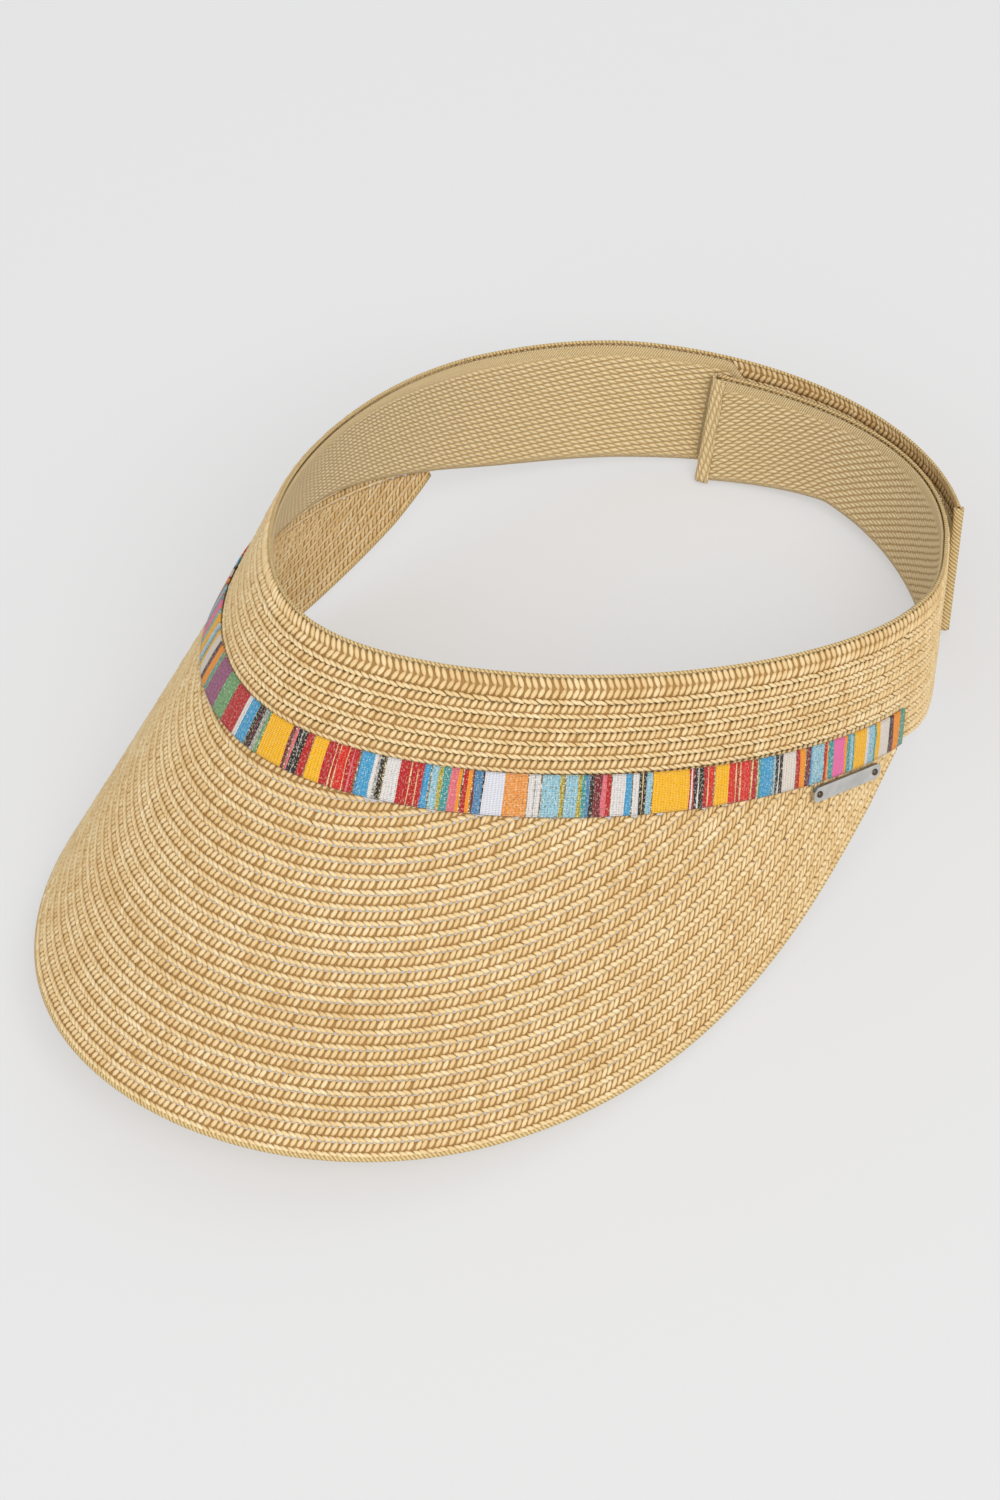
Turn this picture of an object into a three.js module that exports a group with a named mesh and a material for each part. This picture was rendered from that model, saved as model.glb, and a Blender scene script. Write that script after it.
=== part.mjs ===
// Straw sun visor: sewn braid rows, striped ribbon, metal tag and a hook-and-loop back strap.
// Millimetres, +Z up. The visor stands as it does on a table, front towards -Y,
// and the origin is the middle of its bounding box on the table.
import * as THREE from 'three';
import { mergeVertices } from 'three/addons/utils/BufferGeometryUtils.js';

const DEG = Math.PI / 180;

// ---- ring: the plan of the head opening, measured on the middle of the straw wall ----
const RING_RADIUS = 82.6;        // half width, and the radius of the round back half
const FRONT_REACH = 123.2;       // from the ring's centre to the front of the crown
const FRONT_FULLNESS = 1.71;     // 2 is an ellipse, less is more pointed
const BACK_FULLNESS = 2;         // round, so that the two straps slide on each other
const TURN_SOFTNESS = 0.35;      // rounds the tightest bend at the front
const CROWN_HEIGHT = 32.3;       // from the brim seam to the top edge at the front
const TOP_RISE = 8.9;            // how much higher the top edge is at the back
const TOP_DIP = -0.9;            // how much lower it is at the temples
const FRONT_FLARE = 0.413;       // outward slope of the crown wall at the front
const BACK_FLARE = 0.103;        // and at the back strap
const FLARE_SETTLES = 120;       // degrees from the front where the slope stops changing

// ---- brim ----
const BRIM_DEPTH = 92.8;         // from the seam to the edge at the front
const BRIM_TAPER = 2.26;         // how long it stays deep before it runs out at the temples
const BRIM_END = 97.2;           // degrees from the front where the brim runs out
const BRIM_SLOPE = 66;           // degrees below the ring plane at the front
const BRIM_DROOP = 35;           // how much steeper it gets round the side
const BRIM_SIDE_LIFT = -14;    // and how much of that the side gives back
const BRIM_SIDE_FAN = 1.345;      // how much the brim fans out sideways
const BRIM_ROW_PITCH = 3.87;     // one braid row to the next
const NARROWEST_ROW = 1.0;       // a row stops where the seam leaves less than this of it

// ---- braid and tapes ----
const STRAW_THICK = 1.6;
const ROW_GAP = 0.3;             // between neighbouring rows
const LAYER_GAP = 0.2;           // between sewn layers
const CROWN_ROWS = 9;            // the top one is folded over and twice as tall
const TOP_ROW_SHARE = 2;
const TAPE_THICK = 0.8;
const FRONT_TAPE_WIDTH = 26;
const TAPE_MARGIN = 0.5;         // tape edge to straw edge
const RIBBON_THICK = 0.6;
const RIBBON_WIDTH = 9.6;
const RIBBON_END_INSET = 0.6;    // degrees short of the brim's end

// ---- back strap ----
const STRAP_START = 98.2;       // degrees from the front, middle of the gap at each temple
const SPLIT_GAP = 0.7;           // degrees of gap where two bodies meet
const STRAP_BOTTOM = 13.3;       // height of the strap's lower edge at the back
const STRAP_BELLY = -4.3;        // how far that edge sags on its way there
const INNER_END = 207.8;           // where the inner strap's free end is
const INNER_DROP = 3.8;          // how much lower the inner strap sits at its end
const TAIL_START = 213.3;        // where the outer strap's tail begins to peel
const TAIL_LENGTH = 74.5;        // degrees round the ring
const PATCH_THICK = 0.5;
const PATCH_MARGIN = 2.2;        // patch edge to tape edge
const PATCH_END_INSET = 3.2;     // degrees from the strap's end
const HOOK_LOOP_CLEARANCE = 0.8;
const HEM_LENGTH = 3.2;          // millimetres of strap end that the folded binding covers
const HEM_THICK = 0.6;
const OUTER_LIFT_FROM = 105;     // degrees from the outer strap's temple where it starts to stand off
const OUTER_LIFT_TO = 138;
const INNER_SINK_FROM = 103;
const INNER_SINK_TO = 127;

// ---- metal tag ----
const TAG_LENGTH = 25.6;
const TAG_WIDTH = 4.2;
const TAG_THICK = 0.9;
const TAG_CORNER = 1.1;
const TAG_HOLE_RADIUS = 0.75;
const TAG_HOLE_INSET = 2.1;
const TAG_ANGLE = 82.8;          // degrees from the front
const TAG_BELOW_SEAM = 3.0;
const TAG_STANDOFF = 0.35;
const STUD_SHANK_RADIUS = 0.42;
const STUD_HEAD_RADIUS = 0.95;
const STUD_HEAD_HEIGHT = 0.45;
const STUD_CLEARANCE = 0.12;

const STATION_STEP = 5.6;        // degrees between sections of a bent strip
const HALF_STRAW = STRAW_THICK / 2;
const BRIM_ROWS = 1 + Math.floor(
  (BRIM_DEPTH - 1.5 * ROW_GAP - NARROWEST_ROW) / BRIM_ROW_PITCH,
);
const DEEPEST_SINK = STRAW_THICK + 2 * (LAYER_GAP + PATCH_THICK) + LAYER_GAP + TAPE_THICK
  + HOOK_LOOP_CLEARANCE;
const LIFT = DEEPEST_SINK / 2;   // the outer strap moves out and the inner one in by this

// ---------------------------------------------------------------------------
// Shape of the ring and brim. Angles are degrees round the ring from the front,
// positive towards +X; the wall's surface is the middle of the straw.

function smooth(value, from, to) {
  const t = THREE.MathUtils.clamp((value - from) / (to - from), 0, 1);
  return t * t * (3 - 2 * t);
}

function fromFront(angle) {
  const wrapped = THREE.MathUtils.euclideanModulo(angle + 180, 360) - 180;
  return Math.abs(wrapped);
}

// A power of the value that keeps its sign and stays gently curved through zero.
function softPower(value, exponent) {
  const softness = TURN_SOFTNESS ** 2;
  return value * ((value * value + softness) / (1 + softness)) ** ((exponent - 1) / 2);
}

function ringPoint(angle) {
  const s = Math.sin(angle * DEG);
  const c = Math.cos(angle * DEG);
  const fullness = c > 0 ? FRONT_FULLNESS : BACK_FULLNESS;
  const reach = c > 0 ? FRONT_REACH : RING_RADIUS;
  return new THREE.Vector2(
    RING_RADIUS * softPower(s, 2 / fullness),
    -reach * softPower(c, 2 / fullness),
  );
}

function ringPlan(angle) {
  const nudge = 0.01;
  const along = ringPoint(angle + nudge).sub(ringPoint(angle - nudge)).normalize();
  return { point: ringPoint(angle), outward: new THREE.Vector2(along.y, -along.x) };
}

function flare(angle) {
  const turn = Math.min(fromFront(angle) * 180 / FLARE_SETTLES, 180);
  const frontShare = 0.5 + 0.5 * Math.cos(turn * DEG);
  return FRONT_FLARE * frontShare + BACK_FLARE * (1 - frontShare);
}

function topHeight(angle) {
  const a = angle * DEG;
  return CROWN_HEIGHT + TOP_RISE * (1 - Math.cos(a)) / 2 + TOP_DIP * (1 - Math.cos(2 * a)) / 2;
}

function strapBottom(angle) {
  const k = THREE.MathUtils.clamp((fromFront(angle) - BRIM_END) / (180 - BRIM_END), 0, 1);
  const turn = Math.PI * k;
  return STRAP_BOTTOM * (0.5 - 0.5 * Math.cos(turn)) + STRAP_BELLY * Math.sin(turn);
}

// A point on the wall: height above the brim seam, and distance out from the straw's middle.
function onWall(angle, height, out) {
  const { point, outward } = ringPlan(angle);
  const slope = flare(angle);
  const lean = Math.hypot(1, slope);
  const run = (CROWN_HEIGHT - height) * slope + out / lean;
  return new THREE.Vector3(
    point.x + outward.x * run,
    point.y + outward.y * run,
    height + out * slope / lean,
  );
}

function brimSlope(angle) {
  const a = angle * DEG;
  return (BRIM_SLOPE + BRIM_DROOP * (1 - Math.cos(a)) + BRIM_SIDE_LIFT * Math.sin(a) ** 2) * DEG;
}

function brimDepth(angle) {
  const share = Math.min(Math.abs(angle) / BRIM_END, 1);
  return BRIM_DEPTH * (1 - share ** BRIM_TAPER);
}

// A point on the brim: distance down from the seam, and distance out from the straw's middle.
function onBrim(angle, down, out) {
  const seam = onWall(angle, 0, 0);
  const { outward } = ringPlan(angle);
  const fan = new THREE.Vector2(outward.x * BRIM_SIDE_FAN, outward.y).normalize();
  const slope = brimSlope(angle);
  const run = down * Math.cos(slope) + out * Math.sin(slope);
  return new THREE.Vector3(
    seam.x + fan.x * run,
    seam.y + fan.y * run,
    seam.z - down * Math.sin(slope) + out * Math.cos(slope),
  );
}

// Distance down the brim of the line that lies one step further in than the given line.
function stepIn(line, step, spacing) {
  const nudge = 0.05;
  return line.map((down, i) => {
    const before = Math.max(i - 1, 0);
    const after = Math.min(i + 1, line.length - 1);
    const angle = -BRIM_END + i * spacing;
    const slant = (line[after] - line[before]) / ((after - before) * spacing);
    const along = onBrim(angle + nudge, down, 0).sub(onBrim(angle - nudge, down, 0));
    along.multiplyScalar(1 / (2 * nudge));
    const across = onBrim(angle, down + nudge, 0).sub(onBrim(angle, down - nudge, 0));
    across.multiplyScalar(1 / (2 * nudge));
    const e = along.dot(along);
    const f = along.dot(across);
    const g = across.dot(across);
    const stretch = Math.sqrt((e + 2 * f * slant + g * slant * slant) / (e * g - f * f));
    return down - step * stretch;
  });
}

// Lines parallel to the brim's edge, one braid pitch apart, as functions of the angle.
function brimLines(count) {
  const samples = 181;
  const spacing = 2 * BRIM_END / (samples - 1);
  const steps = 8;
  const angles = Array.from({ length: samples }, (_, i) => -BRIM_END + i * spacing);
  const lines = [angles.map(brimDepth)];
  for (let row = 0; row < count; row += 1) {
    let line = lines[row];
    for (let k = 0; k < steps; k += 1) {
      line = stepIn(line, BRIM_ROW_PITCH / steps, spacing);
    }
    lines.push(line);
  }
  return lines.map((line) => (angle) => {
    const place = THREE.MathUtils.clamp((angle + BRIM_END) / spacing, 0, samples - 1.001);
    const i = Math.floor(place);
    return THREE.MathUtils.lerp(line[i], line[i + 1], place - i);
  });
}

// ---------------------------------------------------------------------------
// Solids

function bend(geometry, place) {
  const bent = geometry.clone();
  const position = bent.getAttribute('position');
  for (let i = 0; i < position.count; i += 1) {
    const moved = place(position.getX(i), position.getY(i), position.getZ(i));
    position.setXYZ(i, moved.x, moved.y, moved.z);
  }
  bent.deleteAttribute('uv');
  bent.deleteAttribute('normal');
  const merged = mergeVertices(bent, 1e-4);
  merged.computeVertexNormals();
  return merged;
}

// Angles from one end to the other; the ones between lie on one grid that all strips share.
function stations(from, to) {
  const inner = [];
  const first = Math.ceil(from / STATION_STEP + 0.25);
  for (let i = first; i * STATION_STEP < to - 0.25 * STATION_STEP; i += 1) {
    inner.push(i * STATION_STEP);
  }
  return [from, ...inner, to];
}

// A strip bent round the ring. low and high give its edges and inside and outside its faces
// at each angle; surface is onWall or a form of onBrim whose heights grow upwards.
function strip({ from, to, low, high, inside, outside, surface }) {
  const angles = stations(from, to);
  const box = new THREE.BoxGeometry(1, 1, 1, angles.length - 1, 1, 1);
  return bend(box, (x, y, z) => {
    const angle = angles[Math.round((x + 0.5) * (angles.length - 1))];
    const height = THREE.MathUtils.lerp(low(angle), high(angle), y + 0.5);
    const out = THREE.MathUtils.lerp(inside(angle), outside(angle), z + 0.5);
    return surface(angle, height, out);
  });
}

function brimUpwards(angle, height, out) {
  return onBrim(angle, -height, out);
}

function steady(value) {
  return () => value;
}

function material(color, roughness, metalness = 0) {
  return new THREE.MeshStandardMaterial({ color, roughness, metalness });
}

const STRAW = ['#dcc088', '#d6b87e', '#e0c690'];

function piece(name, geometry, look) {
  const mesh = new THREE.Mesh(geometry, look);
  mesh.name = name;
  return mesh;
}

function straw(index) {
  return material(STRAW[index % STRAW.length], 0.75);
}

function numbered(prefix, index) {
  return `${prefix}_${String(index).padStart(2, '0')}`;
}

// ---------------------------------------------------------------------------
// Brim: rows of braid parallel to its edge, cut off by the seam to the crown

function rowEnd(outer, least) {
  let inside = 0;
  let beyond = BRIM_END;
  for (let i = 0; i < 40; i += 1) {
    const middle = (inside + beyond) / 2;
    if (outer(middle) > least) {
      inside = middle;
    } else {
      beyond = middle;
    }
  }
  return inside;
}

function makeBrim() {
  const rows = [];
  const lines = brimLines(BRIM_ROWS);
  const tuck = ROW_GAP;
  for (let row = 0; row < BRIM_ROWS; row += 1) {
    const outer = (angle) => lines[row](angle) - ROW_GAP / 2;
    const innermost = row === BRIM_ROWS - 1;
    const inner = (angle) => (innermost ? tuck
      : Math.max(lines[row + 1](angle) + ROW_GAP / 2, tuck));
    const end = rowEnd(outer, tuck + NARROWEST_ROW);
    const geometry = strip({
      from: -end,
      to: end,
      low: (angle) => -outer(angle),
      high: (angle) => -inner(angle),
      inside: steady(-HALF_STRAW),
      outside: steady(HALF_STRAW),
      surface: brimUpwards,
    });
    rows.push(piece(numbered('brim_braid_row', row + 1), geometry, straw(row)));
  }
  return rows;
}

// ---------------------------------------------------------------------------
// Crown front: rows parallel to the top edge, sweatband inside, ribbon outside

function makeCrown() {
  const pieces = [];
  const end = STRAP_START - SPLIT_GAP / 2;
  const shares = CROWN_ROWS - 1 + TOP_ROW_SHARE;
  const pitch = (CROWN_HEIGHT - ROW_GAP / 2) / shares;
  let above = 0;
  for (let row = 0; row < CROWN_ROWS; row += 1) {
    const share = row === 0 ? TOP_ROW_SHARE : 1;
    const top = above * pitch + (row === 0 ? 0 : ROW_GAP / 2);
    const bottom = (above + share) * pitch - ROW_GAP / 2;
    above += share;
    const atSeam = row === CROWN_ROWS - 1;
    const geometry = strip({
      from: -end,
      to: end,
      low: (angle) => (atSeam ? ROW_GAP / 2 : topHeight(angle) - bottom),
      high: (angle) => topHeight(angle) - top,
      inside: steady(-HALF_STRAW),
      outside: steady(HALF_STRAW),
      surface: onWall,
    });
    pieces.push(piece(numbered('crown_braid_row', row + 1), geometry, straw(row)));
  }
  const tapeOutside = -HALF_STRAW - LAYER_GAP;
  pieces.push(piece('front_sweatband', strip({
    from: -end,
    to: end,
    low: (angle) => topHeight(angle) - TAPE_MARGIN - FRONT_TAPE_WIDTH,
    high: (angle) => topHeight(angle) - TAPE_MARGIN,
    inside: steady(tapeOutside - TAPE_THICK),
    outside: steady(tapeOutside),
    surface: onWall,
  }), material('#cdb68a', 0.9)));
  const ribbonInside = HALF_STRAW + LAYER_GAP;
  pieces.push(piece('striped_ribbon', strip({
    from: -BRIM_END + RIBBON_END_INSET,
    to: BRIM_END - RIBBON_END_INSET,
    low: steady(ROW_GAP),
    high: steady(ROW_GAP + RIBBON_WIDTH),
    inside: steady(ribbonInside),
    outside: steady(ribbonInside + RIBBON_THICK),
    surface: onWall,
  }), material('#d9503a', 0.7)));
  return pieces;
}

// ---------------------------------------------------------------------------
// Metal tag: a flat bar on the brim just under the ribbon, held by two studs

function makeTag() {
  const group = new THREE.Group();
  const centre = onBrim(TAG_ANGLE, TAG_BELOW_SEAM, HALF_STRAW + TAG_STANDOFF);
  const spread = TAG_LENGTH / 2 / RING_RADIUS / DEG;
  const start = onBrim(TAG_ANGLE - spread, TAG_BELOW_SEAM, HALF_STRAW + TAG_STANDOFF);
  const finish = onBrim(TAG_ANGLE + spread, TAG_BELOW_SEAM, HALF_STRAW + TAG_STANDOFF);
  const along = finish.sub(start).normalize();
  const up = onBrim(TAG_ANGLE, 0, 0).sub(onBrim(TAG_ANGLE, 2 * TAG_BELOW_SEAM, 0));
  const out = new THREE.Vector3().crossVectors(along, up).normalize();
  up.crossVectors(out, along);
  group.quaternion.setFromRotationMatrix(new THREE.Matrix4().makeBasis(along, up, out));
  group.position.copy(centre);

  const half = TAG_LENGTH / 2;
  const rise = TAG_WIDTH / 2;
  const outline = new THREE.Shape();
  outline.moveTo(-half + TAG_CORNER, -rise);
  outline.lineTo(half - TAG_CORNER, -rise);
  outline.lineTo(half, -rise + TAG_CORNER);
  outline.lineTo(half, rise - TAG_CORNER);
  outline.lineTo(half - TAG_CORNER, rise);
  outline.lineTo(-half + TAG_CORNER, rise);
  outline.lineTo(-half, rise - TAG_CORNER);
  outline.lineTo(-half, -rise + TAG_CORNER);
  const steel = material('#b9bcc0', 0.3, 1);
  for (const side of [-1, 1]) {
    const x = side * (half - TAG_HOLE_INSET);
    const hole = new THREE.Path();
    hole.absarc(x, 0, TAG_HOLE_RADIUS, 0, 2 * Math.PI, true);
    outline.holes.push(hole);

    const under = STUD_CLEARANCE + TAG_THICK;
    const profile = [
      new THREE.Vector2(0, STUD_CLEARANCE),
      new THREE.Vector2(STUD_SHANK_RADIUS, STUD_CLEARANCE),
      new THREE.Vector2(STUD_SHANK_RADIUS, under),
      new THREE.Vector2(STUD_HEAD_RADIUS, under),
      new THREE.Vector2(STUD_HEAD_RADIUS * 0.75, under + STUD_HEAD_HEIGHT * 0.7),
      new THREE.Vector2(0, under + STUD_HEAD_HEIGHT),
    ];
    const lathe = new THREE.LatheGeometry(profile, 10);
    const stud = piece(
      side < 0 ? 'tag_stud_front' : 'tag_stud_back',
      bend(lathe, (px, py, pz) => new THREE.Vector3(px, py, pz)),
      material('#5b5148', 0.5, 0.6),
    );
    stud.rotation.x = Math.PI / 2;
    stud.position.set(x, 0, 0);
    group.add(stud);
  }
  const bar = new THREE.ExtrudeGeometry(outline, {
    depth: TAG_THICK, bevelEnabled: false, curveSegments: 5,
  });
  group.add(piece('tag_plate', bend(bar, (x, y, z) => new THREE.Vector3(x, y, z)), steel));
  return group;
}

// ---------------------------------------------------------------------------
// Back straps. The outer one comes from the wearer's right (-X) and its tail ends over the
// inner one, which comes from the wearer's left and ends inside it.

function outerLift(angle) {
  return LIFT * smooth(-angle, OUTER_LIFT_FROM, OUTER_LIFT_TO);
}

function innerSink(angle) {
  return -LIFT * smooth(angle, INNER_SINK_FROM, INNER_SINK_TO);
}

function innerDrop(angle) {
  return INNER_DROP * smooth(angle, TAIL_START - TAIL_LENGTH, INNER_END);
}

// A strap's layers: straw, tape on its inner face, a patch, and a folded binding on its end.
function layers(offset, drop) {
  const low = (angle) => strapBottom(angle) - drop(angle);
  const high = (angle) => topHeight(angle) - drop(angle);
  const tapeOut = HALF_STRAW + LAYER_GAP;
  const between = (inset, from, to) => ({
    low: (angle) => low(angle) + inset,
    high: (angle) => high(angle) - inset,
    inside: (angle) => offset(angle) + from,
    outside: (angle) => offset(angle) + to,
    surface: onWall,
  });
  return {
    straw: between(0, -HALF_STRAW, HALF_STRAW),
    tape: between(TAPE_MARGIN, -tapeOut - TAPE_THICK, -tapeOut),
    patchInside: between(
      PATCH_MARGIN, -tapeOut - TAPE_THICK - LAYER_GAP - PATCH_THICK,
      -tapeOut - TAPE_THICK - LAYER_GAP,
    ),
    patchOutside: between(PATCH_MARGIN, tapeOut, tapeOut + PATCH_THICK),
  };
}

// The folded binding round a strap's end: a U round straw and tape, open towards the strap.
function endHem(end, side, offset, drop) {
  const outer = HALF_STRAW + LAYER_GAP;
  const inner = -HALF_STRAW - 2 * LAYER_GAP - TAPE_THICK;
  const shape = new THREE.Shape();
  shape.moveTo(inner - HEM_THICK, 0);
  shape.lineTo(inner, 0);
  shape.lineTo(inner, HEM_LENGTH);
  shape.lineTo(outer, HEM_LENGTH);
  shape.lineTo(outer, 0);
  shape.lineTo(outer + HEM_THICK, 0);
  shape.lineTo(outer + HEM_THICK, HEM_LENGTH + HEM_THICK);
  shape.lineTo(inner - HEM_THICK, HEM_LENGTH + HEM_THICK);
  const solid = new THREE.ExtrudeGeometry(shape, { depth: 1, bevelEnabled: false, steps: 1 });
  const start = end - side * (HEM_LENGTH - LAYER_GAP) / RING_RADIUS / DEG;
  const bent = bend(solid, (x, y, z) => {
    const angle = start + side * y / RING_RADIUS / DEG;
    const height = THREE.MathUtils.lerp(strapBottom(end), topHeight(end), z) - drop(end);
    return onWall(angle, height, offset(end) + x);
  });
  return side > 0 ? bent : turnInsideOut(bent);
}

function turnInsideOut(geometry) {
  const index = geometry.getIndex();
  for (let i = 0; i < index.count; i += 3) {
    const second = index.getX(i + 1);
    index.setX(i + 1, index.getX(i + 2));
    index.setX(i + 2, second);
  }
  geometry.computeVertexNormals();
  return geometry;
}

function makeStraps() {
  const pieces = [];
  const half = SPLIT_GAP / 2;
  const tapeLook = material('#c9b184', 0.9);
  const still = steady(0);
  const outer = layers(outerLift, still);
  const tailStart = TAIL_START - 360;
  const tailEnd = tailStart - TAIL_LENGTH;
  const onOuter = { from: tailStart + half, to: -STRAP_START - half };
  const onTail = { from: tailEnd, to: tailStart - half };
  pieces.push(piece('outer_strap_braid', strip({ ...onOuter, ...outer.straw }), straw(0)));
  pieces.push(piece('outer_strap_tape', strip({ ...onOuter, ...outer.tape }), tapeLook));
  pieces.push(piece('outer_tail_braid', strip({ ...onTail, ...outer.straw }), straw(1)));
  pieces.push(piece('outer_tail_tape', strip({ ...onTail, ...outer.tape }), tapeLook));
  pieces.push(piece('hook_patch', strip({
    from: tailEnd + PATCH_END_INSET,
    to: tailStart - half - PATCH_END_INSET,
    ...outer.patchInside,
  }), material('#b9a47c', 0.95)));
  const hemLook = material('#cbb487', 0.9);
  pieces.push(piece('outer_tail_end_hem', endHem(tailEnd, -1, outerLift, still), hemLook));

  const inner = layers(innerSink, innerDrop);
  const onInner = { from: STRAP_START + half, to: INNER_END };
  pieces.push(piece('inner_strap_braid', strip({ ...onInner, ...inner.straw }), straw(2)));
  pieces.push(piece('inner_strap_tape', strip({ ...onInner, ...inner.tape }), tapeLook));
  pieces.push(piece('loop_patch', strip({
    from: TAIL_START - TAIL_LENGTH - 2,
    to: INNER_END - PATCH_END_INSET,
    ...inner.patchOutside,
  }), material('#c2ad83', 0.98)));
  pieces.push(piece('inner_strap_end_hem', endHem(INNER_END, 1, innerSink, innerDrop), hemLook));
  return pieces;
}

// ---------------------------------------------------------------------------
// Standing on the table: tilted back until brim edge and strap touch it together

function lowest(points, tilt) {
  const turned = points.map((p) => p.z * Math.cos(tilt) - p.y * Math.sin(tilt));
  return Math.min(...turned);
}

function restTilt() {
  const edge = [];
  const strap = [];
  for (let angle = 0; angle < BRIM_END; angle += 1) {
    edge.push(onBrim(angle, brimDepth(angle), -HALF_STRAW));
  }
  for (let angle = 120; angle <= 180; angle += 2) {
    strap.push(onWall(angle, strapBottom(angle), LIFT + HALF_STRAW));
  }
  let flat = 0;
  let steep = 60 * DEG;
  for (let i = 0; i < 40; i += 1) {
    const tilt = (flat + steep) / 2;
    if (lowest(edge, tilt) < lowest(strap, tilt)) {
      flat = tilt;
    } else {
      steep = tilt;
    }
  }
  return flat;
}

const visor = new THREE.Group();
visor.add(...makeBrim(), ...makeCrown(), makeTag(), ...makeStraps());
visor.rotation.x = -restTilt();

const model = new THREE.Group();
model.add(visor);
model.updateMatrixWorld(true);
const bounds = new THREE.Box3().setFromObject(model, true);
const middle = bounds.getCenter(new THREE.Vector3());
visor.position.set(-middle.x, -middle.y, -bounds.min.z);
model.updateMatrixWorld(true);

export default model;
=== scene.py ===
"""Straw sun visor: sewn braid rows, twill tapes, a striped ribbon, a metal tag and a hook-and-loop strap."""
import logging
import math
from dataclasses import dataclass, field
from enum import Enum
from typing import Callable, Optional, Sequence, Union

import bmesh
import bpy
import numpy as np
from mathutils import Matrix, Vector


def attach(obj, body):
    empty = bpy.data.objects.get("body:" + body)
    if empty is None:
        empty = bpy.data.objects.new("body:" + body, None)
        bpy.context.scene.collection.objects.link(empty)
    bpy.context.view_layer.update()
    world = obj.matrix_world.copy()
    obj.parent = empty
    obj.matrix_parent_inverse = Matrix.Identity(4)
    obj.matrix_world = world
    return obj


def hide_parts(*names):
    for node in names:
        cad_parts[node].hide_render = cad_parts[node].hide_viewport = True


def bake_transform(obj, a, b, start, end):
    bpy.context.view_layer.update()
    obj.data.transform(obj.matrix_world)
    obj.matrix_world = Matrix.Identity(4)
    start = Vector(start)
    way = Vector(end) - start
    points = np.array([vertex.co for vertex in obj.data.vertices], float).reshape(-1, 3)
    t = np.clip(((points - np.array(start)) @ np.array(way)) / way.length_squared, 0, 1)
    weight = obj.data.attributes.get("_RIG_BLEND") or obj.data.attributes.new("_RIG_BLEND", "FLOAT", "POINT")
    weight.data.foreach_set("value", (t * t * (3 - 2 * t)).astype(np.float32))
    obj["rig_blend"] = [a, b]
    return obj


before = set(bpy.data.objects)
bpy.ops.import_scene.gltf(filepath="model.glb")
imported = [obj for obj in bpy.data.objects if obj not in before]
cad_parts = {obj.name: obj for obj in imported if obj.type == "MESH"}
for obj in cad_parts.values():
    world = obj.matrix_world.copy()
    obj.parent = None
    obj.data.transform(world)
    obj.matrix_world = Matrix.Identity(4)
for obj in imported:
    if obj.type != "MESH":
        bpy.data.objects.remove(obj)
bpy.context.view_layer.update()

MM = 0.001
LOG = logging.getLogger("visor")
logging.basicConfig(level=logging.INFO, format="%(name)s: %(message)s")

TAPE_THICK = 0.7        # millimetres, as are the others here
TAPE_OUT = -1.4         # from the middle of the straw to the middle of the tape
TAPE_MARGIN = 0.4       # from the straw's edge to the tape's
CORD_RADIUS = 0.45      # of the cord on the band's top edge
CORD_RISE = 0.2         # how far that cord's middle stands above the straw
CORD_STRIP = 3.0        # height of the strip whose edge a cord follows
STRAP_MIDDLE = 25.0     # height at which the places where a strap bends are stated
RUN_HEIGHT = 22.0       # height at which the length round the band is measured
LAST_ANGLE = 230        # degrees either way from the front that it is measured to

Array = np.ndarray
Value = Union["Signal", float]


def ease(share: Array) -> Array:
    """Goes from 0 to 1 with a soft start and end."""
    t = np.clip(share, 0, 1)
    return t * t * (3 - 2 * t)


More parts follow.
